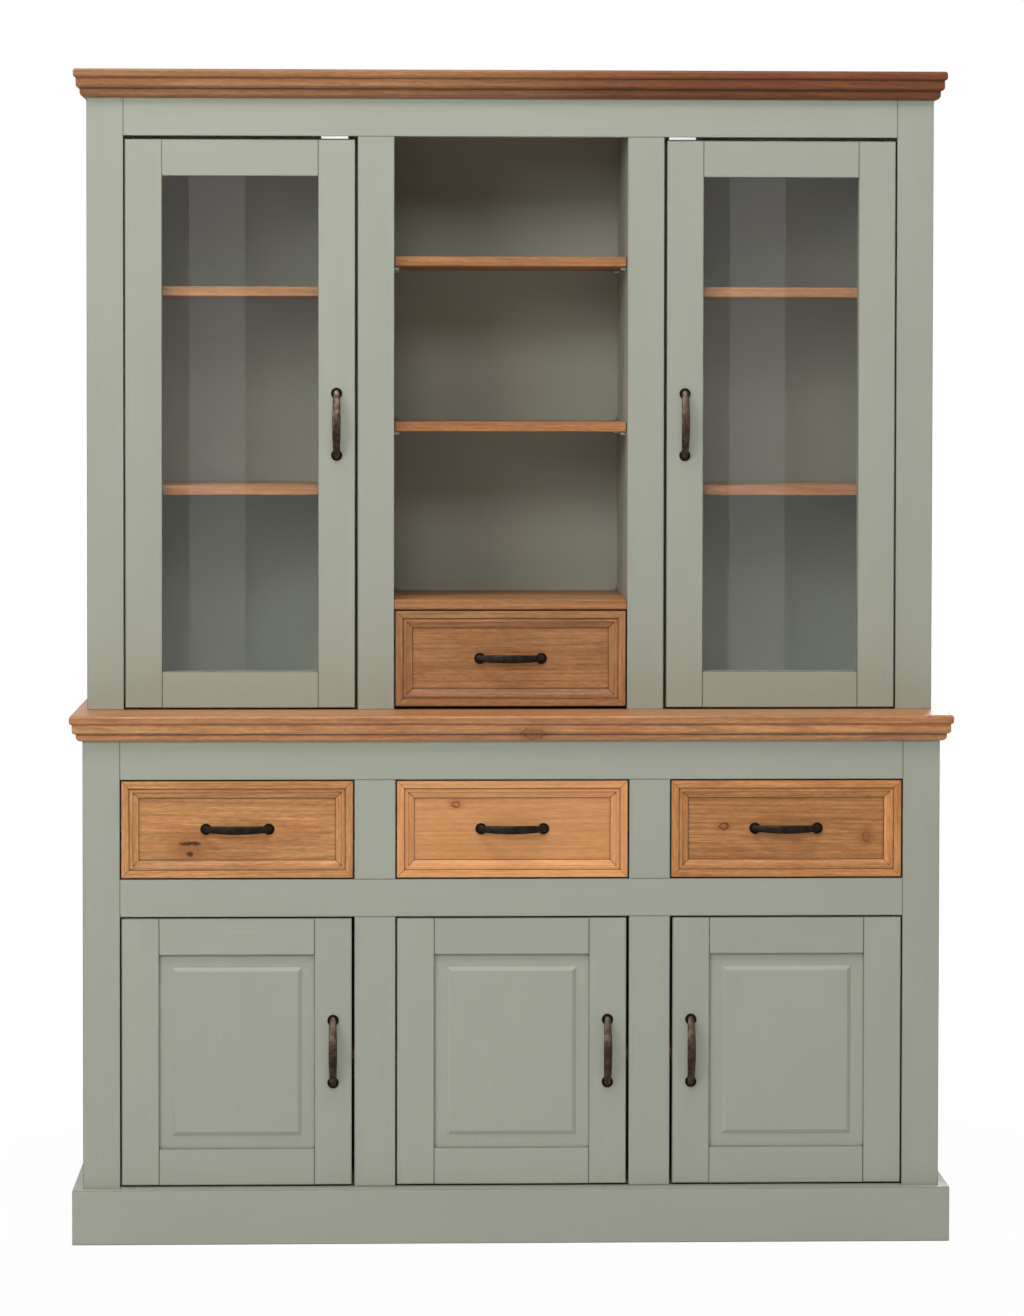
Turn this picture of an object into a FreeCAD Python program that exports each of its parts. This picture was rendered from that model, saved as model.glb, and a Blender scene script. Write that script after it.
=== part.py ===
import FreeCAD, Part
import Sketcher
import math
import os
import re

# Two-piece country buffet: a base with three doors and three drawers, and a hutch with
# two glazed doors, an open niche and one drawer. Front faces -Y, +X is to the right and
# +Z is up. The origin lies on the floor, under the middle of the whole box.

SIZES = {
    # Carcass of both units
    "carcass_width": 1506.0,
    "base_depth": 430.0,
    "hutch_depth": 315.0,
    "side_thick": 18.0,
    "back_thick": 6.0,
    "frame_thick": 20.0,
    "stile_width": 65.0,
    "mullion_width": 72.0,
    # Heights of the base, from the floor up
    "plinth_height": 96.0,
    "plinth_thick": 18.0,
    "floor_reveal": 3.0,
    "cupboard_height": 475.5,
    "base_rail_height": 66.0,
    "drawer_opening_height": 175.0,
    "base_rail_show": 68.0,
    # Worktop and cornice: a board with a rounded nose over a two-step moulding
    "nose_thick": 16.0,
    "nose_overhang": 22.0,
    "nose_round": 5.0,
    "upper_step_overhang": 17.5,
    "upper_step_round": 6.0,
    "lower_step_overhang": 11.0,
    "lower_step_round": 9.0,
    "worktop_upper_step": 17.0,
    "worktop_lower_step": 13.0,
    "cornice_upper_step": 18.0,
    "cornice_lower_step": 16.0,
    # Heights of the hutch, from the worktop up
    "hutch_door_lift": 3.0,
    "hutch_door_height": 1010.0,
    "hutch_door_drop": 6.0,
    "hutch_rail_show": 67.0,
    "niche_floor_rise": 178.0,
    "niche_floor_setback": 1.0,
    "lower_glazed_rise": 398.0,
    "upper_glazed_rise": 753.0,
    "lower_niche_rise": 512.0,
    "upper_niche_rise": 807.0,
    # Shelves and their pins
    "shelf_thick": 17.0,
    "shelf_end_gap": 0.5,
    "shelf_setback": 12.0,
    "niche_shelf_setback": 2.0,
    "base_shelf_rise": 235.0,
    "pin_radius": 3.0,
    "pin_play": 0.05,
    "pin_seat": 8.0,
    "pin_show": 9.0,
    "pin_margin": 35.0,
    # Doors
    "door_thick": 18.0,
    "door_gap": 2.5,
    "door_free_gap": 4.5,
    "door_stile_width": 66.0,
    "door_rail_height": 65.0,
    "tongue_thick": 8.0,
    "tongue_reach": 9.0,
    "panel_recess": 5.0,
    "panel_play": 1.0,
    "field_margin": 22.0,
    "field_bevel": 7.0,
    "field_rise": 4.0,
    "glass_lip": 6.0,
    "glass_thick": 4.0,
    "glass_rebate": 9.0,
    "glass_play": 1.0,
    # Door pivots, catches and strike plates
    "pivot_inset": 16.0,
    "pivot_depth": 8.0,
    "pivot_radius": 2.5,
    "pivot_play": 0.05,
    "pivot_reach": 10.0,
    "pivot_seat": 15.0,
    "bush_radius": 4.0,
    "bush_length": 12.0,
    "bush_fit": 0.02,
    "bush_end_gap": 1.0,
    "plate_thick": 2.0,
    "plate_width": 20.0,
    "plate_inset": 2.0,
    "plate_tail": 25.0,
    "swing_clear": 2.0,
    "catch_width": 48.0,
    "catch_depth": 14.0,
    "catch_overlap": 12.0,
    "catch_seat": 20.0,
    "strike_width": 40.0,
    "strike_height": 14.0,
    "strike_inset": 1.0,
    "strike_thick": 1.5,
    # Bow handles
    "handle_centres": 110.0,
    "handle_projection": 27.0,
    "rosette_radius": 10.0,
    "rosette_rim": 2.5,
    "rosette_dome": 1.5,
    "rosette_top_radius": 7.0,
    "bow_thick": 6.0,
    "bow_mid_width": 14.0,
    "bow_end_width": 10.0,
    "bow_end_reach": 4.0,
    # Drawers
    "drawer_gap": 2.5,
    "hutch_drawer_lift": 5.5,
    "drawer_strip_thick": 8.0,
    "strip_width": 30.0,
    "strip_flat": 13.0,
    "strip_quirk": 2.0,
    "strip_bead": 7.0,
    "strip_bead_round": 1.2,
    "strip_bead_drop": 1.4,
    "strip_lip": 1.6,
    "drawer_side_gap": 6.0,
    "drawer_side_thick": 12.0,
    "drawer_side_height": 130.0,
    "drawer_side_rise": 8.0,
    "drawer_back_gap": 14.0,
    "drawer_bottom_thick": 6.0,
    "drawer_bottom_rise": 10.0,
    "drawer_bottom_groove": 5.0,
    "runner_height": 16.0,
    "runner_rise": 58.0,
    "runner_groove": 5.0,
    "runner_clear": 0.3,
    # How far a cutting tool runs past the face it starts from
    "overrun": 2.0,
}

# Places worked out from the sizes above
PLACES = {
    "half_width": "carcass_width / 2",
    "back_y": "(base_depth + handle_projection) / 2",
    "base_face": "back_y - base_depth",
    "hutch_face": "back_y - hutch_depth",
    "back_inner": "back_y - back_thick",
    "opening": "(carcass_width - 4 * stile_width) / 3",
    "half_opening": "opening / 2",
    "bay_pitch": "opening + stile_width",
    "wall_inner": "half_width - side_thick",
    "hutch_stile_mid": "half_opening + stile_width / 2",
    "base_opening": "(carcass_width - 2 * stile_width - 2 * mullion_width) / 3",
    "half_base_opening": "base_opening / 2",
    "base_pitch": "base_opening + mullion_width",
    "base_wall_mid": "half_base_opening + mullion_width / 2",
    "floor_top": "plinth_height + floor_reveal",
    "cupboard_top": "floor_top + cupboard_height",
    "drawer_low": "cupboard_top + base_rail_height",
    "drawer_high": "drawer_low + drawer_opening_height",
    "worktop_moulding_low": "drawer_high + base_rail_show",
    "worktop_moulding_height": "worktop_upper_step + worktop_lower_step",
    "base_top": "worktop_moulding_low + worktop_moulding_height",
    "worktop_top": "base_top + nose_thick",
    "hutch_floor_top": "worktop_top + side_thick",
    "hutch_door_low": "worktop_top + hutch_door_lift",
    "hutch_door_high": "hutch_door_low + hutch_door_height",
    "hutch_rail_low": "hutch_door_high + hutch_door_drop",
    "cornice_moulding_low": "hutch_rail_low + hutch_rail_show",
    "cornice_moulding_height": "cornice_upper_step + cornice_lower_step",
    "hutch_top": "cornice_moulding_low + cornice_moulding_height",
    "niche_floor_low": "worktop_top + niche_floor_rise",
    "niche_floor_top": "niche_floor_low + side_thick",
    "base_frame_back": "base_face + frame_thick",
    "hutch_frame_back": "hutch_face + frame_thick",
    "door_heel": "sqrt(pivot_inset ^ 2 + (door_thick - pivot_depth) ^ 2)",
    "hutch_floor_front": "hutch_face + pivot_depth + door_heel + swing_clear",
    "bow_rise": "handle_projection - rosette_rim",
    "bow_outer_half": "handle_centres / 2 + bow_end_reach",
    "bow_inner_half": "handle_centres / 2 - bow_end_reach",
    "bow_inner_rise": "bow_rise - bow_thick",
    "bow_outer_radius": "(bow_outer_half ^ 2 + bow_rise ^ 2) / (2 * bow_rise)",
    "bow_inner_radius": "(bow_inner_half ^ 2 + bow_inner_rise ^ 2) / (2 * bow_inner_rise)",
    "bow_belly": "(bow_mid_width - bow_end_width) / 2",
    "bow_side_radius": "(bow_outer_half ^ 2 + bow_belly ^ 2) / (2 * bow_belly)",
}

BAYS = {"left": "-1", "middle": "0", "right": "1"}
# Pitch of the bays and half the width of an opening, in the unit that has each face
BAY_SPANS = {"base_face": ("base_pitch", "half_base_opening"), "hutch_face": ("bay_pitch", "half_opening")}
SIDE_SIGNS = {"left": "-1", "right": "1"}

RIGHT = FreeCAD.Vector(1, 0, 0)
LEFT = FreeCAD.Vector(-1, 0, 0)
BACK = FreeCAD.Vector(0, 1, 0)
FRONT = FreeCAD.Vector(0, -1, 0)
UP = FreeCAD.Vector(0, 0, 1)
DOWN = FreeCAD.Vector(0, 0, -1)

UPRIGHT = FreeCAD.Rotation()
ALONG_X = FreeCAD.Rotation(BACK, UP, RIGHT, "XYZ")
ALONG_Y = FreeCAD.Rotation(UP, RIGHT, BACK, "XYZ")

# A sketch's size before its formula sets it, and the distance under which two points are one
UNIT = 1.0
SAME_POINT = 1e-4

document = FreeCAD.newDocument("buffet")
nodes = {}


def fill_sheet():
    """Write every size into the sheet, with its name as the cell's alias."""
    sheet = document.addObject("Spreadsheet::Sheet", "Sizes")
    for row, (name, size) in enumerate(SIZES.items(), start=1):
        sheet.set(f"A{row}", name)
        sheet.set(f"B{row}", str(size))
        sheet.setAlias(f"B{row}", name)
    document.recompute()


def bound(formula):
    """Spell out a formula so that each size in it refers to its cell of the sheet."""
    def refer(match):
        word = match.group(0)
        if word in PLACES:
            return "(" + bound(PLACES[word]) + ")"
        if word in SIZES:
            return "Sizes." + word
        return word
    return re.sub(r"[a-z_]+", refer, formula)


def bind(item, **formulas):
    """Bind properties of an object to formulas."""
    for name, formula in formulas.items():
        item.setExpression(name, bound(formula))


def place(item, x="0", y="0", z="0", rotation=UPRIGHT):
    """Turn an object, and bind its position to three formulas."""
    item.Placement = FreeCAD.Placement(FreeCAD.Vector(0, 0, 0), rotation)
    for axis, formula in zip("xyz", (x, y, z)):
        item.setExpression("Placement.Base." + axis, bound(formula))
    return item


def node(name, item):
    """Keep an object as a node of the part."""
    item.Label = name
    nodes[name] = item
    return item


def board(name, x, y, z):
    """A square-edged board between two formulas along each axis."""
    item = document.addObject("Part::Box", name)
    length, width, height = (f"({span[1]}) - ({span[0]})" for span in (x, y, z))
    bind(item, Length=length, Width=width, Height=height)
    return place(item, x[0], y[0], z[0])


def rod(name, radius, length, x, y, z, rotation=UPRIGHT):
    """A round rod that starts at a point and runs along its turned axis."""
    item = document.addObject("Part::Cylinder", name)
    bind(item, Radius=radius, Height=length)
    return place(item, x, y, z, rotation)


def wedge(name, near, near_x, far, far_x, z, rotation=UPRIGHT):
    """A board whose ends slope between its near and far faces, as a mitre does."""
    item = document.addObject("Part::Wedge", name)
    bind(item, Ymin=near, Xmin=near_x[0], Xmax=near_x[1], Ymax=far, X2min=far_x[0], X2max=far_x[1])
    bind(item, Zmin=z[0], Z2min=z[0], Zmax=z[1], Z2max=z[1])
    item.Placement = FreeCAD.Placement(FreeCAD.Vector(0, 0, 0), rotation)
    return item


def group(name, members):
    """Several separate solids under one name."""
    item = document.addObject("Part::Compound", name)
    item.Links = members
    return item


def cut(name, base, tools):
    """A solid with every tool taken out of it."""
    item = document.addObject("Part::Cut", name)
    item.Base = base
    item.Tool = tools[0] if len(tools) == 1 else group(name + "_tools", tools)
    return item


def fuse(name, members):
    """One solid from several that meet."""
    item = document.addObject("Part::MultiFuse", name)
    item.Shapes = members
    item.Refine = True
    return item


def common(name, members):
    """The space that several solids share."""
    item = document.addObject("Part::MultiCommon", name)
    item.Shapes = members
    return item


def tube(name, inner_radius, outer_radius, length, x, y, z):
    """A plain bush, standing upright."""
    outside = rod(name + "_outside", outer_radius, length, x, y, z)
    bore = rod(name + "_bore", inner_radius, f"{length} + 2 * overrun", x, y, f"{z} - overrun")
    return cut(name, outside, [bore])


def origin_plane(body, role):
    """One of a body's own origin planes."""
    return next(item for item in body.Origin.OriginFeatures if item.Role == role)


def draw_outline(sketch, points):
    """Draw a closed outline of straight lines, each corner held by its two formulas."""
    count = len(points)
    turns = [2 * math.pi * index / count for index in range(count)]
    corners = [FreeCAD.Vector(math.cos(turn), math.sin(turn), 0) for turn in turns]
    for index in range(count):
        sketch.addGeometry(Part.LineSegment(corners[index], corners[(index + 1) % count]), False)
    for index in range(count):
        sketch.addConstraint(Sketcher.Constraint("Coincident", index, 2, (index + 1) % count, 1))
    for index, point in enumerate(points):
        for kind, axis, formula in zip(("DistanceX", "DistanceY"), (-2, -1), point):
            if formula == "0":
                sketch.addConstraint(Sketcher.Constraint("PointOnObject", index, 1, axis))
                continue
            datum = sketch.addConstraint(Sketcher.Constraint(kind, -1, 1, index, 1, UNIT))
            sketch.setExpression(f"Constraints[{datum}]", bound(formula))


def profile_run(name, plane_role, points, length, rounds):
    """Pad an outline, then round the edges that run from the outline's named corners."""
    body = document.addObject("PartDesign::Body", name)
    sketch = body.newObject("Sketcher::SketchObject", name + "_outline")
    sketch.AttachmentSupport = (origin_plane(body, plane_role), [""])
    sketch.MapMode = "FlatFace"
    draw_outline(sketch, points)
    pad = body.newObject("PartDesign::Pad", name + "_pad")
    pad.Profile = sketch
    bind(pad, Length=length)
    document.recompute()
    normal = sketch.Placement.Rotation.multVec(UP)
    last = pad
    for corner, radius in rounds.items():
        start = sketch.Placement.multVec(sketch.Geometry[corner].StartPoint)
        edges = [
            f"Edge{index}"
            for index, edge in enumerate(last.Shape.Edges, start=1)
            if all((vertex.Point - start).cross(normal).Length < SAME_POINT for vertex in edge.Vertexes)
        ]
        last = round_edges(body, f"{name}_round_{corner}", last, edges, radius)
    return body


def round_edges(body, name, base, edges, radius):
    """Round the named edges of a body's last feature."""
    fillet = body.newObject("PartDesign::Fillet", name)
    fillet.Base = (base, edges)
    bind(fillet, Radius=radius)
    document.recompute()
    if fillet.Shape.Volume == base.Shape.Volume:
        raise RuntimeError(name + " rounded nothing")
    return fillet


def mitred_run(name, points, rounds, length, near_x, far_x, width, height, rotation, x, y, z):
    """A moulding length: an outline run along X, trimmed to a mitre at the ends that slope."""
    run = profile_run(name + "_run", "YZ_Plane", points, length, rounds)
    trim = wedge(name + "_trim", "0", near_x, width, far_x, ("0", height))
    return place(common(name, [run, trim]), x, y, z, rotation)


def moulding(name, face, depth, low, upper_step, lower_step):
    """The stepped moulding round the front and sides, in three mitred lengths."""
    total = f"{upper_step} + {lower_step}"
    points = [
        ("0", "0"),
        ("lower_step_overhang", "0"),
        ("lower_step_overhang", lower_step),
        ("upper_step_overhang", lower_step),
        ("upper_step_overhang", total),
        ("0", total),
    ]
    rounds = {3: "upper_step_round", 1: "lower_step_round"}
    reach = "upper_step_overhang"
    across = f"carcass_width + 2 * {reach}"
    along = f"{depth} + {reach}"
    turn_front = FreeCAD.Rotation(LEFT, FRONT, UP, "XYZ")
    turn_left = FreeCAD.Rotation(BACK, LEFT, UP, "XYZ")
    turn_right = FreeCAD.Rotation(FRONT, RIGHT, UP, "XYZ")
    front = mitred_run(name + "_front", points, rounds, across, (reach, f"{across} - {reach}"), ("0", across),
                       reach, total, turn_front, f"half_width + {reach}", face, low)
    left = mitred_run(name + "_left", points, rounds, along, (reach, along), ("0", along),
                      reach, total, turn_left, "0 - half_width", f"{face} - {reach}", low)
    right = mitred_run(name + "_right", points, rounds, along, ("0", depth), ("0", along),
                       reach, total, turn_right, "half_width", "back_y", low)
    node(name, group(name + "_lengths", [front, left, right]))


def nosed_board(name, face, low):
    """A top board that overhangs the front and sides, with a rounded nose on those edges."""
    width = "carcass_width + 2 * nose_overhang"
    depth = f"back_y - {face} + nose_overhang"
    points = [("0", "0"), (width, "0"), (width, depth), ("0", depth)]
    body = profile_run(name, "XY_Plane", points, "nose_thick", {})
    pad = body.Tip
    back = pad.Shape.BoundBox.YMax
    edges = [
        f"Edge{index}"
        for index, edge in enumerate(pad.Shape.Edges, start=1)
        if edge.BoundBox.ZLength < SAME_POINT and edge.BoundBox.YMin < back - SAME_POINT
    ]
    round_edges(body, name + "_nose", pad, edges, "nose_round")
    place(body, "0 - half_width - nose_overhang", f"{face} - nose_overhang", low)
    node(name, body)


def plinth():
    """Skirting boards round the front and sides, mitred at the front corners."""
    height = ("0", "plinth_height")
    outer = "half_width + plinth_thick"
    front_y = "base_face - plinth_thick"
    front = wedge("plinth_front", front_y, (f"0 - ({outer})", outer),
                  "base_face", ("0 - half_width", "half_width"), height)
    left = wedge("plinth_left", "half_width", ("base_face", "back_y"), outer, (front_y, "back_y"),
                 height, FreeCAD.Rotation(BACK, LEFT, UP, "XYZ"))
    right = wedge("plinth_right", "half_width", ("0 - back_y", "0 - base_face"), outer,
                  ("0 - back_y", f"0 - ({front_y})"), height, FreeCAD.Rotation(FRONT, RIGHT, UP, "XYZ"))
    node("plinth", group("plinth_boards", [front, left, right]))


def shelf(name, walls, y, top, holes, pins):
    """A shelf between two walls on four pins; the pins' holes are kept with each wall."""
    (left_name, left_face), (right_name, right_face) = walls
    low = f"{top} - shelf_thick"
    item = board(name, (f"{left_face} + shelf_end_gap", f"{right_face} - shelf_end_gap"), y, (low, top))
    height = f"{low} - pin_radius"
    pin_length = "pin_seat + pin_show"
    hole_length = "pin_seat + overrun"
    rows = {"front": f"{y[0]} + pin_margin", "back": f"{y[1]} - pin_margin"}
    for row, depth in rows.items():
        ends = {left_name: (f"{left_face} - pin_seat", f"{left_face} - pin_seat"),
                right_name: (f"{right_face} - pin_show", f"{right_face} - overrun")}
        for wall, (pin_x, hole_x) in ends.items():
            tag = f"{name}_{wall}_{row}"
            pins.append(rod(tag + "_pin", "pin_radius", pin_length, pin_x, depth, height, ALONG_X))
            hole = rod(tag + "_hole", "pin_radius + pin_play", hole_length, hole_x, depth, height, ALONG_X)
            holes.setdefault(wall, []).append(hole)
    return item


def bored(name, item, holes):
    """A wall with its pin holes."""
    return node(name, cut(name + "_bored", item, holes[name]))


def base_carcass(holes, pins, rail_bores):
    """Sides, floor, back, partitions, shelves and face frame of the base."""
    inside_y = ("base_frame_back", "back_inner")
    upright = ("0", "base_top")
    half_wall = "side_thick / 2"
    left_mid = "0 - base_wall_mid"
    side_y = ("base_frame_back", "back_y")
    walls = {
        "base_side_left": board("side_left", ("0 - half_width", "0 - wall_inner"), side_y, upright),
        "base_side_right": board("side_right", ("wall_inner", "half_width"), side_y, upright),
        "base_partition_left": board("partition_left",
                                     (f"{left_mid} - {half_wall}", f"{left_mid} + {half_wall}"),
                                     inside_y, ("floor_top", "base_top")),
        "base_partition_right": board("partition_right",
                                      (f"base_wall_mid - {half_wall}", f"base_wall_mid + {half_wall}"),
                                      inside_y, ("floor_top", "base_top")),
    }
    faces = {
        "left": (("base_side_left", "0 - wall_inner"),
                 ("base_partition_left", f"{left_mid} - {half_wall}")),
        "middle": (("base_partition_left", f"{left_mid} + {half_wall}"),
                   ("base_partition_right", f"base_wall_mid - {half_wall}")),
        "right": (("base_partition_right", f"base_wall_mid + {half_wall}"),
                  ("base_side_right", "wall_inner")),
    }
    shelf_y = ("base_frame_back + shelf_setback", "back_inner")
    shelves = [
        shelf(f"base_shelf_{bay}", faces[bay], shelf_y, "floor_top + base_shelf_rise", holes, pins)
        for bay in BAYS
    ]
    node("base_shelves", group("base_shelf_set", shelves))
    for name, item in walls.items():
        bored(name, item, holes)
    inner = ("0 - wall_inner", "wall_inner")
    node("base_floor", board("floor", inner, inside_y, ("floor_top - side_thick", "floor_top")))
    node("base_back", board("back", inner, ("back_inner", "back_y"), ("floor_top - side_thick", "base_top")))
    frame_y = ("base_face", "base_frame_back")
    between = ("stile_width - half_width", "half_width - stile_width")
    rail = board("base_rail_blank", between, frame_y, ("cupboard_top", "drawer_low"))
    members = [
        board("base_stile_left", ("0 - half_width", between[0]), frame_y, upright),
        board("base_stile_right", (between[1], "half_width"), frame_y, upright),
        board("base_rail_low", between, frame_y, ("floor_top - base_rail_height", "floor_top")),
        cut("base_rail_middle", rail, rail_bores),
        board("base_rail_high", between, frame_y, ("drawer_high", "base_top")),
    ]
    for side, sign in SIDE_SIGNS.items():
        middle = f"{sign} * base_wall_mid"
        mullion_x = (f"{middle} - mullion_width / 2", f"{middle} + mullion_width / 2")
        members.append(board(f"door_mullion_{side}", mullion_x, frame_y, ("floor_top", "cupboard_top")))
        members.append(board(f"drawer_mullion_{side}", mullion_x, frame_y, ("drawer_low", "drawer_high")))
    node("base_face_frame", group("base_frame_members", members))


def hutch_carcass(holes, pins, rail_bores, floor_notches):
    """Sides, floor, back, partitions, niche floor, shelves and face frame of the hutch."""
    inside_y = ("hutch_frame_back", "back_inner")
    upright = ("worktop_top", "hutch_top")
    wall_far = "half_opening + side_thick"
    side_y = ("hutch_frame_back", "back_y")
    walls = {
        "hutch_side_left": board("hutch_left", ("0 - half_width", "0 - wall_inner"), side_y, upright),
        "hutch_side_right": board("hutch_right", ("wall_inner", "half_width"), side_y, upright),
        "hutch_partition_left": board("niche_left", (f"0 - ({wall_far})", "0 - half_opening"), inside_y,
                                      ("hutch_floor_top", "hutch_top")),
        "hutch_partition_right": board("niche_right", ("half_opening", wall_far), inside_y,
                                       ("hutch_floor_top", "hutch_top")),
    }
    faces = {
        "left": (("hutch_side_left", "0 - wall_inner"), ("hutch_partition_left", f"0 - ({wall_far})")),
        "middle": (("hutch_partition_left", "0 - half_opening"), ("hutch_partition_right", "half_opening")),
        "right": (("hutch_partition_right", wall_far), ("hutch_side_right", "wall_inner")),
    }
    glazed_y = ("hutch_frame_back + shelf_setback", "back_inner")
    niche_y = ("hutch_frame_back + niche_shelf_setback", "back_inner")
    shelves = []
    for row in ("lower", "upper"):
        for bay in BAYS:
            kind, depth = ("niche", niche_y) if bay == "middle" else ("glazed", glazed_y)
            top = f"worktop_top + {row}_{kind}_rise"
            shelves.append(shelf(f"hutch_shelf_{row}_{bay}", faces[bay], depth, top, holes, pins))
    node("hutch_shelves", group("hutch_shelf_set", shelves))
    for name, item in walls.items():
        bored(name, item, holes)
    inner = ("0 - wall_inner", "wall_inner")
    floor_y = ("hutch_floor_front", "back_inner")
    floor = board("hutch_floor_board", inner, floor_y, ("worktop_top", "hutch_floor_top"))
    node("hutch_floor", cut("hutch_floor_notched", floor, floor_notches))
    node("hutch_back", board("hutch_back_board", inner, ("back_inner", "back_y"), upright))
    niche_z = ("niche_floor_low", "niche_floor_top")
    node("niche_floor", board("niche_floor_board", ("0 - half_opening", "half_opening"),
                              ("hutch_face + niche_floor_setback", "back_inner"), niche_z))
    frame_y = ("hutch_face", "hutch_frame_back")
    between = ("stile_width - half_width", "half_width - stile_width")
    rail = board("hutch_rail_blank", between, frame_y, ("hutch_rail_low", "hutch_top"))
    members = [
        board("hutch_stile_left", ("0 - half_width", between[0]), frame_y, upright),
        board("hutch_stile_right", (between[1], "half_width"), frame_y, upright),
        cut("hutch_rail", rail, rail_bores),
    ]
    for side, sign in SIDE_SIGNS.items():
        middle = f"{sign} * hutch_stile_mid"
        stile_x = (f"{middle} - stile_width / 2", f"{middle} + stile_width / 2")
        stile_z = ("worktop_top", "hutch_rail_low")
        members.append(board(f"hutch_inner_stile_{side}", stile_x, frame_y, stile_z))
    node("hutch_face_frame", group("hutch_frame_members", members))


def handle(name, x, face, z, rotation):
    """A bow pull: a bar bent to an arc, fuller in the middle, between two domed rosettes."""
    width = "bow_mid_width + 2 * overrun"
    start = "0 - bow_mid_width / 2 - overrun"
    outer = rod(name + "_outer", "bow_outer_radius", width, "0", start,
                "handle_projection - bow_outer_radius", ALONG_Y)
    inner = rod(name + "_inner", "bow_inner_radius", width, "0", start,
                "handle_projection - bow_thick - bow_inner_radius", ALONG_Y)
    belly = "bow_mid_width / 2 - bow_side_radius"
    upper = rod(name + "_upper", "bow_side_radius", "handle_projection", "0", belly, "0")
    lower = rod(name + "_lower", "bow_side_radius", "handle_projection", "0", f"0 - ({belly})", "0")
    above = board(name + "_above", ("0 - bow_outer_half", "bow_outer_half"),
                  ("0 - bow_mid_width", "bow_mid_width"), ("rosette_rim", "handle_projection + overrun"))
    bow = cut(name + "_bow", common(name + "_blank", [outer, upper, lower, above]), [inner])
    parts = [bow]
    for end, sign in (("start", "-1"), ("end", "1")):
        middle = f"{sign} * handle_centres / 2"
        parts.append(rod(f"{name}_rim_{end}", "rosette_radius", "rosette_rim", middle, "0", "0"))
        dome = document.addObject("Part::Cone", f"{name}_dome_{end}")
        bind(dome, Radius1="rosette_radius", Radius2="rosette_top_radius", Height="rosette_dome")
        parts.append(place(dome, middle, "0", "rosette_rim"))
    node(name, place(fuse(name + "_whole", parts), x, face, z, rotation))


LYING_HANDLE = FreeCAD.Rotation(RIGHT, UP, FRONT, "XYZ")
STANDING_HANDLE = FreeCAD.Rotation(UP, LEFT, FRONT, "XYZ")


def door_frame(name, x, z, face, grooves, edge_bores, rebate):
    """Two stiles and two rails; the rails' tongues sit in grooves along the stiles."""
    body_y = (face, f"{face} + door_thick")
    tongue_y = (f"{face} + panel_recess", f"{face} + panel_recess + tongue_thick")
    inner_x = (f"{x[0]} + door_stile_width", f"{x[1]} - door_stile_width")
    members = []
    stiles = {"left": ((x[0], inner_x[0]), (f"{inner_x[0]} - tongue_reach", f"{inner_x[0]} + overrun")),
              "right": ((inner_x[1], x[1]), (f"{inner_x[1]} - overrun", f"{inner_x[1]} + tongue_reach"))}
    for side, (span, groove_x) in stiles.items():
        stile = board(f"{name}_stile_{side}_blank", span, body_y, z)
        tools = [
            board(f"{name}_stile_{side}_groove_{index}", groove_x, tongue_y, groove_z)
            for index, groove_z in enumerate(grooves)
        ]
        tools += edge_bores.get(side, []) + rebate
        members.append(cut(f"{name}_stile_{side}", stile, tools))
    rails = {"low": (z[0], f"{z[0]} + door_rail_height"), "high": (f"{z[1]} - door_rail_height", z[1])}
    for level, span in rails.items():
        body = board(f"{name}_rail_{level}_body", inner_x, body_y, span)
        tongue_x = (f"{inner_x[0]} - tongue_reach", f"{inner_x[1]} + tongue_reach")
        tongue = board(f"{name}_rail_{level}_tongue", tongue_x, tongue_y, span)
        rail = fuse(f"{name}_rail_{level}_blank", [body, tongue])
        if rebate:
            tools = rebate
        elif level == "low":
            groove_z = (f"{span[1]} - tongue_reach", f"{span[1]} + overrun")
            tools = [board(f"{name}_rail_low_groove", tongue_x, tongue_y, groove_z)]
        else:
            groove_z = (f"{span[0]} - overrun", f"{span[0]} + tongue_reach")
            tools = [board(f"{name}_rail_high_groove", tongue_x, tongue_y, groove_z)]
        members.append(cut(f"{name}_rail_{level}", rail, tools))
    node(name + "_frame", group(name + "_members", members))


def raised_panel(name, x, z, face):
    """A panel held in the frame's grooves, with a raised field and sloping margins."""
    inset = "door_stile_width - tongue_reach + panel_play"
    rail_inset = "door_rail_height - tongue_reach + panel_play"
    plate_y = f"{face} + panel_recess"
    plate = board(name + "_plate", (f"{x[0]} + {inset}", f"{x[1]} - ({inset})"),
                  (plate_y, f"{plate_y} + tongue_thick"),
                  (f"{z[0]} + {rail_inset}", f"{z[1]} - ({rail_inset})"))
    field = document.addObject("Part::Wedge", name + "_field")
    margin_x = "door_stile_width + field_margin"
    margin_z = "door_rail_height + field_margin"
    front_y = f"{plate_y} - field_rise"
    bind(field, Ymin=front_y, Ymax=plate_y)
    bind(field, Xmin=f"{x[0]} + {margin_x} + field_bevel", Xmax=f"{x[1]} - ({margin_x}) - field_bevel")
    bind(field, Zmin=f"{z[0]} + {margin_z} + field_bevel", Zmax=f"{z[1]} - ({margin_z}) - field_bevel")
    bind(field, X2min=f"{x[0]} + {margin_x}", X2max=f"{x[1]} - ({margin_x})")
    bind(field, Z2min=f"{z[0]} + {margin_z}", Z2max=f"{z[1]} - ({margin_z})")
    node(name + "_panel", fuse(name + "_raised", [plate, field]))


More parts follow.
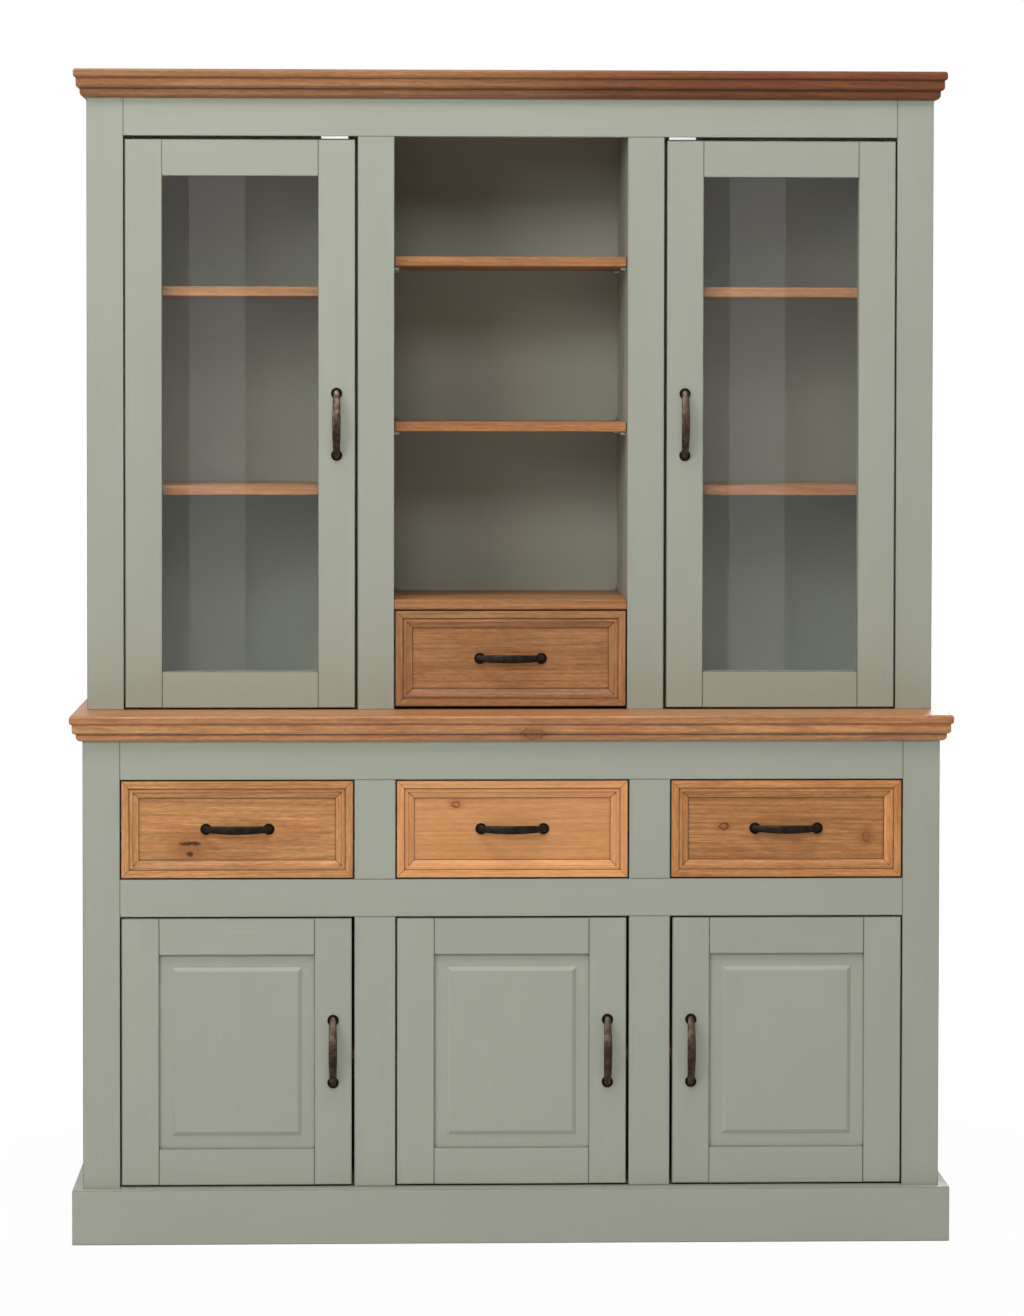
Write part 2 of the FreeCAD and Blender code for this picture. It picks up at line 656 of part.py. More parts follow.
def glazing(name, x, z, face):
    """A glass pane against the frame's front lip, and the four beads that hold it."""
    edge_x = (f"{x[0]} + door_stile_width - glass_rebate", f"{x[1]} - door_stile_width + glass_rebate")
    edge_z = (f"{z[0]} + door_rail_height - glass_rebate", f"{z[1]} - door_rail_height + glass_rebate")
    pane_y = f"{face} + glass_lip"
    bead_y = (f"{pane_y} + glass_thick", f"{face} + door_thick")
    pane_x, pane_z = ((f"{edge[0]} + glass_play", f"{edge[1]} - glass_play") for edge in (edge_x, edge_z))
    node(name + "_glass", board(name + "_pane", pane_x, (pane_y, bead_y[0]), pane_z))
    inner_x = (f"{edge_x[0]} + glass_rebate", f"{edge_x[1]} - glass_rebate")
    beads = [
        board(name + "_bead_left", (edge_x[0], inner_x[0]), bead_y, edge_z),
        board(name + "_bead_right", (inner_x[1], edge_x[1]), bead_y, edge_z),
        board(name + "_bead_low", inner_x, bead_y, (edge_z[0], f"{edge_z[0]} + glass_rebate")),
        board(name + "_bead_high", inner_x, bead_y, (f"{edge_z[1]} - glass_rebate", edge_z[1])),
    ]
    node(name + "_beads", group(name + "_bead_set", beads))


class Door:
    """Where one door sits, and which side it turns on."""

    def __init__(self, name, bay, hinge, face, low, high, rail_low, seat):
        self.name = name
        self.hinge = hinge
        self.face = face
        pitch, half_open = BAY_SPANS[face]
        mid = f"{BAYS[bay]} * {pitch}"
        gaps = ("door_gap", "door_free_gap")
        left_gap, right_gap = gaps if hinge == "left" else gaps[::-1]
        self.x = (f"{mid} - {half_open} + {left_gap}", f"{mid} + {half_open} - {right_gap}")
        self.z = (low, high)
        self.rail_low = rail_low
        self.seat = seat
        inset_left = f"{self.x[0]} + "
        inset_right = f"{self.x[1]} - "
        hinge_edge, free_edge = (inset_left, inset_right) if hinge == "left" else (inset_right, inset_left)
        self.axis_x = hinge_edge + "pivot_inset"
        self.axis_y = f"{face} + pivot_depth"
        self.grip_x = free_edge + "door_stile_width / 2"

    def edge_bores(self):
        """The blind bores in the hinge stile for the pin above and the bush below."""
        pin_bore = rod(self.name + "_pin_bore", "pivot_radius + bush_fit", "pivot_seat + overrun",
                       self.axis_x, self.axis_y, f"{self.z[1]} - pivot_seat")
        bush_bore = rod(self.name + "_bush_bore", "bush_radius + bush_fit",
                        "bush_length + bush_end_gap + overrun",
                        self.axis_x, self.axis_y, f"{self.z[0]} - overrun")
        return {self.hinge: [pin_bore, bush_bore]}

    def rail_bore(self):
        """The blind bore in the rail above, for its bush."""
        return rod(self.name + "_rail_bore", "bush_radius + bush_fit", "bush_length + overrun",
                   self.axis_x, self.axis_y, f"{self.rail_low} - overrun")

    def plate_span(self):
        """The bottom plate's extent along X, Y and Z."""
        return ((f"{self.axis_x} - plate_width / 2", f"{self.axis_x} + plate_width / 2"),
                (f"{self.face} + plate_inset", f"{self.face} + frame_thick + plate_tail"),
                (self.seat, f"{self.seat} + plate_thick"))

    def fixed_pivots(self):
        """The bush in the rail above, and the plate with its pin below the door."""
        bush = tube(self.name + "_rail_bush", "pivot_radius + pivot_play", "bush_radius", "bush_length",
                    self.axis_x, self.axis_y, self.rail_low)
        plate = board(self.name + "_plate", *self.plate_span())
        pin = rod(self.name + "_plate_pin", "pivot_radius", f"{self.z[0]} + pivot_reach - ({self.seat})",
                  self.axis_x, self.axis_y, self.seat)
        return [bush, fuse(self.name + "_pinned_plate", [plate, pin])]

    def catch(self):
        """The magnetic catch on the back of the rail above the door's free edge."""
        back = f"{self.face} + frame_thick"
        return board(self.name + "_catch",
                     (f"{self.grip_x} - catch_width / 2", f"{self.grip_x} + catch_width / 2"),
                     (back, f"{back} + catch_depth"),
                     (f"{self.z[1]} - catch_overlap", f"{self.rail_low} + catch_seat"))

    def fittings(self):
        """The pin, bush and strike plate that the door carries."""
        pin = rod(self.name + "_pin", "pivot_radius",
                  f"pivot_seat + {self.rail_low} + pivot_reach - ({self.z[1]})",
                  self.axis_x, self.axis_y, f"{self.z[1]} - pivot_seat")
        bush = tube(self.name + "_bush", "pivot_radius + pivot_play", "bush_radius", "bush_length",
                    self.axis_x, self.axis_y, self.z[0])
        back = f"{self.face} + door_thick"
        top = f"{self.z[1]} - strike_inset"
        strike = board(self.name + "_strike",
                       (f"{self.grip_x} - strike_width / 2", f"{self.grip_x} + strike_width / 2"),
                       (back, f"{back} + strike_thick"), (f"{top} - strike_height", top))
        node(self.name + "_fittings", group(self.name + "_fitting_set", [pin, bush, strike]))

    def build(self):
        """Make the pieces that turn with the door, apart from its frame and infill."""
        self.fittings()
        middle_z = f"({self.z[0]} + {self.z[1]}) / 2"
        handle(self.name + "_handle", self.grip_x, self.face, middle_z, STANDING_HANDLE)


class PanelDoor(Door):
    """A base door with a raised panel."""

    def build(self):
        super().build()
        door_frame(self.name, self.x, self.z, self.face, [self.z], self.edge_bores(), [])
        raised_panel(self.name, self.x, self.z, self.face)


class GlazedDoor(Door):
    """A hutch door with a glass pane in a rebate."""

    def build(self):
        super().build()
        edge = "door_stile_width - glass_rebate"
        rail_edge = "door_rail_height - glass_rebate"
        rebate = board(self.name + "_rebate", (f"{self.x[0]} + {edge}", f"{self.x[1]} - ({edge})"),
                       (f"{self.face} + glass_lip", f"{self.face} + door_thick + overrun"),
                       (f"{self.z[0]} + {rail_edge}", f"{self.z[1]} - ({rail_edge})"))
        rail_spans = [(self.z[0], f"{self.z[0]} + door_rail_height"),
                      (f"{self.z[1]} - door_rail_height", self.z[1])]
        door_frame(self.name, self.x, self.z, self.face, rail_spans, self.edge_bores(), [rebate])
        glazing(self.name, self.x, self.z, self.face)


class Drawer:
    """One drawer: its opening, its box and the walls that carry its runners."""

    def __init__(self, name, bay, face, front_z, side_low, walls):
        self.name = name
        pitch, self.half_open = BAY_SPANS[face]
        self.mid = f"{BAYS[bay]} * {pitch}"
        self.face = face
        self.front_z = front_z
        self.side_low = side_low
        self.walls = walls
        self.box_y = (f"{face} + frame_thick", "back_inner - drawer_back_gap")
        self.groove_z = (f"{side_low} + runner_rise",
                         f"{side_low} + runner_rise + runner_height + 2 * runner_clear")

    def front(self):
        """A recessed panel with four mitred, moulded strips round its face."""
        half = f"{self.half_open} - drawer_gap"
        x = (f"{self.mid} - ({half})", f"{self.mid} + {half}")
        low, high = self.front_z
        strip_back = f"{self.face} + drawer_strip_thick"
        panel = board(self.name + "_front_panel", x, (strip_back, f"{self.face} + frame_thick"), self.front_z)
        bead_top = "drawer_strip_thick - strip_quirk"
        points = [
            ("0", "0"),
            ("strip_width", "0"),
            ("strip_width", "strip_lip"),
            ("strip_flat + strip_bead", f"{bead_top} - strip_bead_drop"),
            ("strip_flat + strip_bead", bead_top),
            ("strip_flat", bead_top),
            ("strip_flat", "drawer_strip_thick"),
            ("0", "drawer_strip_thick"),
        ]
        rounds = {4: "strip_bead_round"}
        across = f"{x[1]} - ({x[0]})"
        tall = f"{high} - ({low})"
        runs = {
            "top": (across, LEFT, DOWN, x[1], high),
            "right": (tall, UP, LEFT, x[1], low),
            "bottom": (across, RIGHT, UP, x[0], low),
            "left": (tall, DOWN, RIGHT, x[0], high),
        }
        strips = [
            mitred_run(f"{self.name}_strip_{side}", points, rounds, length, ("0", length),
                       ("strip_width", f"{length} - strip_width"), "strip_width", "drawer_strip_thick",
                       FreeCAD.Rotation(along, inward, FRONT, "XYZ"), start_x, strip_back, start_z)
            for side, (length, along, inward, start_x, start_z) in runs.items()
        ]
        node(self.name + "_front", group(self.name + "_front_pieces", [panel] + strips))

    def box(self):
        """Two grooved sides, a back and a bottom."""
        half = f"{self.half_open} - drawer_side_gap"
        side_z = (self.side_low, f"{self.side_low} + drawer_side_height")
        bottom_low = f"{self.side_low} + drawer_bottom_rise"
        bottom_z = (bottom_low, f"{bottom_low} + drawer_bottom_thick")
        past_y = (f"{self.box_y[0]} - overrun", f"{self.box_y[1]} + overrun")
        left_outer = f"{self.mid} - ({half})"
        left_inner = f"{left_outer} + drawer_side_thick"
        right_outer = f"{self.mid} + {half}"
        right_inner = f"{right_outer} - drawer_side_thick"
        spans = {
            "left": ((left_outer, left_inner), (f"{left_outer} - overrun", f"{left_outer} + runner_groove"),
                     (f"{left_inner} - drawer_bottom_groove", f"{left_inner} + overrun")),
            "right": ((right_inner, right_outer),
                      (f"{right_outer} - runner_groove", f"{right_outer} + overrun"),
                      (f"{right_inner} - overrun", f"{right_inner} + drawer_bottom_groove")),
        }
        pieces = []
        for side, (span, runner_x, bottom_x) in spans.items():
            blank = board(f"{self.name}_side_{side}_blank", span, self.box_y, side_z)
            tools = [board(f"{self.name}_runner_groove_{side}", runner_x, past_y, self.groove_z),
                     board(f"{self.name}_bottom_groove_{side}", bottom_x, past_y, bottom_z)]
            pieces.append(cut(f"{self.name}_side_{side}", blank, tools))
        back_y = (f"{self.box_y[1]} - drawer_side_thick", self.box_y[1])
        pieces.append(board(self.name + "_back", (left_inner, right_inner), back_y, (bottom_z[1], side_z[1])))
        bottom_x = (f"{left_inner} - drawer_bottom_groove", f"{right_inner} + drawer_bottom_groove")
        pieces.append(board(self.name + "_bottom", bottom_x, self.box_y, bottom_z))
        node(self.name + "_box", group(self.name + "_box_pieces", pieces))

    def runners(self):
        """The battens on the walls beside the drawer, which its grooves slide on."""
        reach = f"{self.half_open} - drawer_side_gap - runner_groove + runner_clear"
        spans = {"left": (self.walls[0], f"{self.mid} - ({reach})"),
                 "right": (f"{self.mid} + {reach}", self.walls[1])}
        runner_y = (f"{self.box_y[0]} + runner_clear", "back_inner")
        runner_z = (f"{self.groove_z[0]} + runner_clear", f"{self.groove_z[1]} - runner_clear")
        return [board(f"{self.name}_runner_{side}", span, runner_y, runner_z) for side, span in spans.items()]

    def build(self):
        """Make the drawer's own pieces."""
        self.front()
        self.box()
        middle_z = f"({self.front_z[0]} + {self.front_z[1]}) / 2"
        handle(self.name + "_handle", self.mid, f"{self.face} + drawer_strip_thick", middle_z, LYING_HANDLE)


def make_doors():
    """The three base doors and the two glazed doors."""
    base_span = ("floor_top + door_gap", "cupboard_top - door_gap", "cupboard_top", "floor_top")
    hutch_span = ("hutch_door_low", "hutch_door_high", "hutch_rail_low", "worktop_top")
    base = [PanelDoor(f"{bay}_base_door", bay, hinge, "base_face", *base_span)
            for bay, hinge in (("left", "left"), ("middle", "left"), ("right", "right"))]
    hutch = [GlazedDoor(f"{side}_glass_door", side, side, "hutch_face", *hutch_span) for side in SIDE_SIGNS]
    return base, hutch


def make_drawers():
    """The three base drawers and the hutch drawer."""
    half_wall = "side_thick / 2"
    walls = {
        "left": ("0 - wall_inner", f"0 - base_wall_mid - {half_wall}"),
        "middle": (f"0 - base_wall_mid + {half_wall}", f"base_wall_mid - {half_wall}"),
        "right": (f"base_wall_mid + {half_wall}", "wall_inner"),
    }
    front_z = ("drawer_low + drawer_gap", "drawer_high - drawer_gap")
    side_low = "drawer_low + drawer_side_rise"
    drawers = [Drawer(f"{bay}_drawer", bay, "base_face", front_z, side_low, walls[bay]) for bay in BAYS]
    hutch_z = ("worktop_top + hutch_drawer_lift", "niche_floor_low - drawer_gap")
    hutch_walls = ("0 - half_opening", "half_opening")
    hutch_side_low = "hutch_floor_top + drawer_side_rise"
    drawers.append(Drawer("hutch_drawer", "middle", "hutch_face", hutch_z, hutch_side_low, hutch_walls))
    return drawers


def check_document():
    """Stop if any object failed, or if a node has no valid solid."""
    for item in document.Objects:
        if {"Invalid", "Error"} & set(item.State):
            raise RuntimeError(f"{item.Name} failed: {item.State}")
    for name, item in nodes.items():
        if item.Shape.isNull() or not item.Shape.isValid() or not item.Shape.Solids:
            raise RuntimeError(name + " has no valid solid")


def build():
    """Make every node and write it out."""
    fill_sheet()
    base_doors, hutch_doors = make_doors()
    doors = base_doors + hutch_doors
    drawers = make_drawers()
    holes = {}
    pins = []
    plinth()
    base_carcass(holes, pins, [door.rail_bore() for door in base_doors])
    nosed_board("worktop_board", "base_face", "base_top")
    moulding("worktop_moulding", "base_face", "base_depth", "worktop_moulding_low",
             "worktop_upper_step", "worktop_lower_step")
    notches = [board(door.name + "_notch", *door.plate_span()) for door in hutch_doors]
    hutch_carcass(holes, pins, [door.rail_bore() for door in hutch_doors], notches)
    nosed_board("cornice_board", "hutch_face", "hutch_top")
    moulding("cornice_moulding", "hutch_face", "hutch_depth", "cornice_moulding_low",
             "cornice_upper_step", "cornice_lower_step")
    node("shelf_pins", group("shelf_pin_set", pins))
    node("magnet_catches", group("catch_set", [door.catch() for door in doors]))
    node("pivot_sockets", group("socket_set", [piece for door in doors for piece in door.fixed_pivots()]))
    node("drawer_runners", group("runner_set", [runner for drawer in drawers for runner in drawer.runners()]))
    for piece in doors + drawers:
        piece.build()
    document.recompute()
    check_document()
    os.makedirs("parts", exist_ok=True)
    for name, item in nodes.items():
        item.Shape.exportStep(f"parts/{name}.step")
        print(name, len(item.Shape.Solids), round(item.Shape.Volume))


build()
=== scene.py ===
"""Studio picture of a two-piece pine buffet: its finishes, its ironwork, the light and the camera."""

import logging
import math
import zlib
from dataclasses import dataclass
from enum import Enum

import bmesh
import bpy
import numpy as np
from mathutils import Matrix, Vector


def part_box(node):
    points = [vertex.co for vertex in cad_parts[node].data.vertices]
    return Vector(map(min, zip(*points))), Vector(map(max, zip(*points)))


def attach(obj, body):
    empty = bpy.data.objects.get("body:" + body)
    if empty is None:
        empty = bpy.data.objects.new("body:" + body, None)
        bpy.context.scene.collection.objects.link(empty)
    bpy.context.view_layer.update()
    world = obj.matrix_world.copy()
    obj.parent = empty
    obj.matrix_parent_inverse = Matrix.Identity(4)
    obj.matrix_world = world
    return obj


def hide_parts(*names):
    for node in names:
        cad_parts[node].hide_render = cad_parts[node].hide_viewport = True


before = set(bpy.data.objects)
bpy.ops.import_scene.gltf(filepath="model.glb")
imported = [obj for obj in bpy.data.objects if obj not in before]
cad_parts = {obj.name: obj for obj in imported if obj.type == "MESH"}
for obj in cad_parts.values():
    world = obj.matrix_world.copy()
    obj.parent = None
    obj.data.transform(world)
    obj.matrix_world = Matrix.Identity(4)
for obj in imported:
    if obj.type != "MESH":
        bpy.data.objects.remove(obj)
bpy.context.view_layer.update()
LOG = logging.getLogger("buffet")

Colour = tuple[float, float, float]
Triple = tuple[float, float, float]
Span = tuple[float, float]
Socket = bpy.types.NodeSocket
Feed = Socket | float | tuple[float, ...]

WHITE: Colour = (1.0, 1.0, 1.0)


def linear(share: float) -> float:
    """Turn one part of a screen colour, 0 to 1, into the linear part that a shader takes."""
    return share / 12.92 if share <= 0.04045 else ((share + 0.055) / 1.055) ** 2.4


def tint(red: int, green: int, blue: int) -> Colour:
    """Turn a colour as it looks on a screen, 0 to 255, into the linear one that a shader takes."""
    return linear(red / 255), linear(green / 255), linear(blue / 255)


def scaled(colour: Colour, share: float) -> Colour:
    """A colour made darker or paler by a share."""
    red, green, blue = (min(1.0, part * share) for part in colour)
    return red, green, blue


def share_of(word: str) -> float:
    """A number from 0 to 1 that belongs to a word, the same in every run."""
    return zlib.crc32(word.encode()) / 2**32


class Bench:
    """Places and joins the nodes of one shader tree."""

    board_steps: Triple = (17.3, 5.9, 11.7)
    mix_inputs: tuple[int, int, int] = (0, 6, 7)
    mix_output: int = 2
    tone_span: Span = (0.3, 0.7)
    gloss_span: Span = (0.25, 0.75)

    def __init__(self, tree: bpy.types.NodeTree) -> None:
        """Work on a material's tree or a node group."""
        self.tree = tree

    def node(self, kind: str, **settings: object) -> bpy.types.Node:
        """Add a node.

        Args:
            kind: The node's type name.
            **settings: Properties to set on it.

        Returns:
            The new node.
        """
        made = self.tree.nodes.new(kind)
        for name, value in settings.items():
            setattr(made, name, value)
        return made

    def feed(self, socket: Socket, source: Feed) -> None:
        """Link a socket to another one, or give it a plain value.

        Args:
            socket: The input that receives.
            source: An output socket, a number or a colour.
        """
        if isinstance(source, Socket):
            self.tree.links.new(source, socket)
        elif socket.type == "RGBA" and len(source) == 3:
            socket.default_value = (*source, 1.0)
        else:
            socket.default_value = source

    def fill(self, node: bpy.types.Node, **values: Feed) -> None:
        """Feed a node's inputs by name, with _ for a space."""
        for name, value in values.items():
            self.feed(node.inputs[name.replace("_", " ")], value)

    def joined(self, kind: str, values: dict[int | str, Feed], output: int | str,
               **settings: object) -> Socket:
        """Add a node, feed its inputs and take one output.

        Args:
            kind: The node's type name.
            values: What each input receives, by number or name.
            output: The output, by number or name.
            **settings: Properties to set on the node.

        Returns:
            The output.
        """
        made = self.node(kind, **settings)
        for key, value in values.items():
            self.feed(made.inputs[key], value)
        return made.outputs[output]

    def stored(self, name: str, output: str = "Vector") -> Socket:
        """A value that the mesh stores at each point."""
        return self.node("ShaderNodeAttribute", attribute_name=name).outputs[output]

    def where(self) -> Socket:
        """A point's place in the shared frame."""
        return self.node("ShaderNodeTexCoord").outputs["Object"]

    def math(self, operation: str, first: Feed, second: Feed = 0.0) -> Socket:
        """Join two numbers by an operation of the Math node."""
        return self.joined("ShaderNodeMath", {0: first, 1: second}, 0, operation=operation)

    def times(self, first: Feed, second: Feed) -> Socket:
        """Multiply two numbers."""
        return self.math("MULTIPLY", first, second)

    def plus(self, first: Feed, second: Feed) -> Socket:
        """Add two numbers."""
        return self.math("ADD", first, second)

    def minus(self, first: Feed, second: Feed) -> Socket:
        """Take the second number from the first."""
        return self.math("SUBTRACT", first, second)

    def squares(self, first: Feed, second: Feed) -> Socket:
        """Add the squares of two numbers."""
        return self.plus(self.times(first, first), self.times(second, second))

    def swing(self, pattern: Feed, width: Feed) -> Socket:
        """Turn a pattern about 0.5 into one about zero, of some width."""
        return self.times(self.minus(pattern, 0.5), width)

    def lot(self, step: float) -> Socket:
        """A number from 0 to 1 that differs from board to board."""
        return self.math("FRACT", self.times(self.stored("seed", "Fac"), step))

    def vector(self, operation: str, first: Feed, second: Feed = (0.0, 0.0, 0.0)) -> Socket:
        """Join two vectors by an operation of the Vector Math node."""
        return self.joined("ShaderNodeVectorMath", {0: first, 1: second}, "Vector", operation=operation)

    def split(self, vector: Feed) -> tuple[Socket, Socket, Socket]:
        """Take a vector apart into its three numbers."""
        parts = self.joined("ShaderNodeSeparateXYZ", {0: vector}, 0).node.outputs
        return parts[0], parts[1], parts[2]

    def ramp(self, value: Feed, low: Feed, high: Feed, start: Feed = 0.0, end: Feed = 1.0) -> Socket:
        """Carry a number smoothly from the range low to high to the range start to end."""
        given = dict(enumerate((value, low, high, start, end)))
        return self.joined("ShaderNodeMapRange", given, "Result", interpolation_type="SMOOTHSTEP")

    def fade(self, value: Feed, low: Feed, high: Feed) -> Socket:
        """Fall smoothly from one to zero over a range."""
        return self.ramp(value, low, high, 1.0, 0.0)

    def noise(self, place: Feed, scale: Feed, detail: float = 2.0, rough: float = 0.5) -> Socket:
        """A cloudy pattern about 0.5 at a place, with a fineness, and finer layers of some strength."""
        given = {"Vector": place, "Scale": scale, "Detail": detail, "Roughness": rough}
        return self.joined("ShaderNodeTexNoise", given, "Fac")

    def tones(self, pattern: Feed, start: float = 0.0, end: float = 1.0) -> Socket:
        """Carry the usual swing of a cloudy pattern to a range of tones."""
        return self.ramp(pattern, *self.tone_span, start, end)

    def gloss(self, pattern: Feed, rough: float, swing: Span) -> Socket:
        """Let the roughness swing about its middle with a cloudy pattern."""
        return self.ramp(pattern, *self.gloss_span, rough + swing[0], rough + swing[1])

    def board_noise(self, spread: Triple, detail: float = 3.0, rough: float = 0.5,
                    scale: Feed = 1.0) -> Socket:
        """A cloudy pattern laid along a board's grain, moved so that no two boards match.

        Args:
            spread: How fine it is along, across and through the board.
            detail: How many finer layers it has.
            rough: How strong the finer layers are.
            scale: How fine it is as a whole.

        Returns:
            A number about 0.5.
        """
        seed = self.stored("seed", "Fac")
        steps = {axis: self.times(seed, step) for axis, step in enumerate(self.board_steps)}
        moved = self.vector("ADD", self.stored("board"), self.joined("ShaderNodeCombineXYZ", steps, 0))
        return self.noise(self.vector("MULTIPLY", moved, spread), scale, detail, rough)

    def blend(self, share: Feed, first: Feed, second: Feed, way: str = "MIX") -> Socket:
        """Mix a share of the second colour into the first, in a way that the Mix node knows."""
        given = dict(zip(self.mix_inputs, (share, first, second)))
        return self.joined("ShaderNodeMix", given, self.mix_output, data_type="RGBA", blend_type=way)

    def glaze(self, colour: Feed, mask: Feed, strength: float, other: Colour) -> Socket:
        """Lay another colour over one where a mask shows it."""
        return self.blend(self.times(mask, strength), colour, other)

    def toned(self, colour: Feed, gain: Feed) -> Socket:
        """Multiply a colour by a number."""
        return self.blend(1.0, colour, gain, "MULTIPLY")

    def bump(self, height: Feed, depth: float, strength: float) -> Socket:
        """Raise the surface by a pattern of some depth in metres."""
        given = {"Height": height, "Distance": depth, "Strength": strength}
        return self.joined("ShaderNodeBump", given, "Normal")

    def place(self, effect: type["EffectGroup"], **values: Feed) -> bpy.types.NodeOutputs:
        """Place an effect's node group.

        Args:
            effect: The kind of effect.
            **values: The group's inputs, with _ for a space in the name.

        Returns:
            The group's outputs.
        """
        made = self.node("ShaderNodeGroup", node_tree=effect().tree())
        self.fill(made, **values)
        return made.outputs

    def choose(self, share: Feed, first: bpy.types.Node, second: bpy.types.Node, output: str) -> None:
        """Show a share of the second shader in place of the first, at the tree's named output."""
        given = {0: share, 1: first.outputs[0], 2: second.outputs[0]}
        self.fill(self.tree.nodes[output], Surface=self.joined("ShaderNodeMixShader", given, 0))

    def seen(self) -> Socket:
        """Mark the rays that see the white surround.

        Returns:
            One for a camera, glossy or transmission ray that no dull surface has scattered.
        """
        path = self.node("ShaderNodeLightPath").outputs
        either = self.math("MAXIMUM", path["Is Camera Ray"], path["Is Glossy Ray"])
        either = self.math("MAXIMUM", either, path["Is Transmission Ray"])
        return self.times(either, self.math("LESS_THAN", path["Diffuse Depth"], 0.5))

    def unless_mirrored(self, mirrored: Feed) -> Socket:
        """One for a ray that comes straight, and a given strength for a mirrored one."""
        return self.ramp(self.node("ShaderNodeLightPath").outputs["Is Glossy Ray"], 0.0, 1.0, 1.0, mirrored)


class EffectGroup:
    """A shader node group that several finishes use."""

    title: str = "effect"
    inputs: dict[str, float] = {}
    outputs: tuple[str, ...] = ()

    def tree(self) -> bpy.types.NodeTree:
        """Build the group at its first use.

        Returns:
            The group's tree.
        """
        found = bpy.data.node_groups.get(self.title)
        if found:
            return found
        tree = bpy.data.node_groups.new(self.title, "ShaderNodeTree")
        for name, value in self.inputs.items():
            socket = tree.interface.new_socket(name=name, in_out="INPUT", socket_type="NodeSocketFloat")
            socket.default_value = value
        for name in self.outputs:
            tree.interface.new_socket(name=name, in_out="OUTPUT", socket_type="NodeSocketFloat")
        bench = Bench(tree)
        source = bench.node("NodeGroupInput").outputs
        bench.fill(bench.node("NodeGroupOutput"), **self.draw(bench, source))
        return tree

    def draw(self, bench: Bench, given: bpy.types.NodeOutputs) -> dict[str, Socket]:
        """Lay out the group's nodes and say what each output receives."""
        raise NotImplementedError


class TimberGrain(EffectGroup):
    """Growth rings cut through by the board's faces, fine fibres and slow changes of tone; in metres."""

    title = "timber_grain"
    inputs = {"Ring Width": 0.006, "Wander": 0.03, "Taper": 0.03}
    outputs = ("Rings", "Fibres", "Streaks", "Flecks", "Figure")
    lean_spread: Triple = (1.3, 5.0, 5.0)
    ripple_spread: Triple = (2.6, 26.0, 26.0)
    fibre_spread: Triple = (9.0, 420.0, 420.0)
    streak_spread: Triple = (1.8, 240.0, 240.0)
    fleck_spread: Triple = (55.0, 260.0, 260.0)
    figure_spread: Triple = (4.5, 14.0, 14.0)
    pith_step: float = 7.31
    pith_range: float = 0.16
    pith_depth: float = 0.075
    ripple: float = 0.005
    darkens: Span = (0.42, 0.86)
    pales: Span = (0.9, 1.0)
    faintest: float = 0.4

    def draw(self, bench: Bench, given: bpy.types.NodeOutputs) -> dict[str, Socket]:
        """Lay out the group's nodes.

        Args:
            bench: Where they go.
            given: The group's inputs.

        Returns:
            What each output receives.
        """
        along, across, through = bench.split(bench.stored("board"))
        lean = bench.swing(bench.board_noise(self.lean_spread, 2.0), given["Wander"])
        pith = bench.minus(bench.times(bench.lot(self.pith_step), self.pith_range), self.pith_range / 2)
        side = bench.plus(bench.minus(across, pith), lean)
        depth = bench.plus(bench.plus(through, self.pith_depth), bench.times(along, given["Taper"]))
        ripple = bench.swing(bench.board_noise(self.ripple_spread), self.ripple)
        radius = bench.plus(bench.math("SQRT", bench.squares(side, depth)), ripple)
        turn = bench.math("DIVIDE", radius, given["Ring Width"])
        year = bench.math("FRACT", turn)
        late = bench.times(bench.ramp(year, *self.darkens), bench.fade(year, *self.pales))
        number = {"W": bench.math("FLOOR", turn)}
        lot = bench.joined("ShaderNodeTexWhiteNoise", number, "Value", noise_dimensions="1D")
        weight = bench.plus(bench.times(lot, 1 - self.faintest), self.faintest)
        return {
            "Rings": bench.times(late, weight),
            "Fibres": bench.board_noise(self.fibre_spread, rough=0.65),
            "Streaks": bench.board_noise(self.streak_spread, rough=0.6),
            "Flecks": bench.board_noise(self.fleck_spread, 2.0, 0.6),
            "Figure": bench.board_noise(self.figure_spread),
        }


class EdgeRub(EffectGroup):
    """A ragged band along the arrises of each board, and a tone for the whole board."""

    title = "edge_rub"
    inputs = {"Reach": 0.003, "Ragged": 0.004}
    outputs = ("Rub", "Tone")
    chip_spread: Triple = (38.0, 60.0, 60.0)
    tone_step: float = 3.77

    def draw(self, bench: Bench, given: bpy.types.NodeOutputs) -> dict[str, Socket]:
        """Lay out the group's nodes.

        Args:
            bench: Where they go.
            given: The group's inputs.

        Returns:
            What each output receives.
        """
        left = bench.vector("SUBTRACT", bench.stored("half"), bench.vector("ABSOLUTE", bench.stored("board")))
        first, second, third = bench.split(left)
        low = bench.math("MINIMUM", first, second)
        high = bench.math("MAXIMUM", first, second)
        inset = bench.math("MAXIMUM", low, bench.math("MINIMUM", high, third))
        worn = bench.swing(bench.board_noise(self.chip_spread, 4.0, 0.6), given["Ragged"])
        rub = bench.fade(bench.plus(inset, worn), 0.0, given["Reach"])
        return {"Rub": rub, "Tone": bench.lot(self.tone_step)}


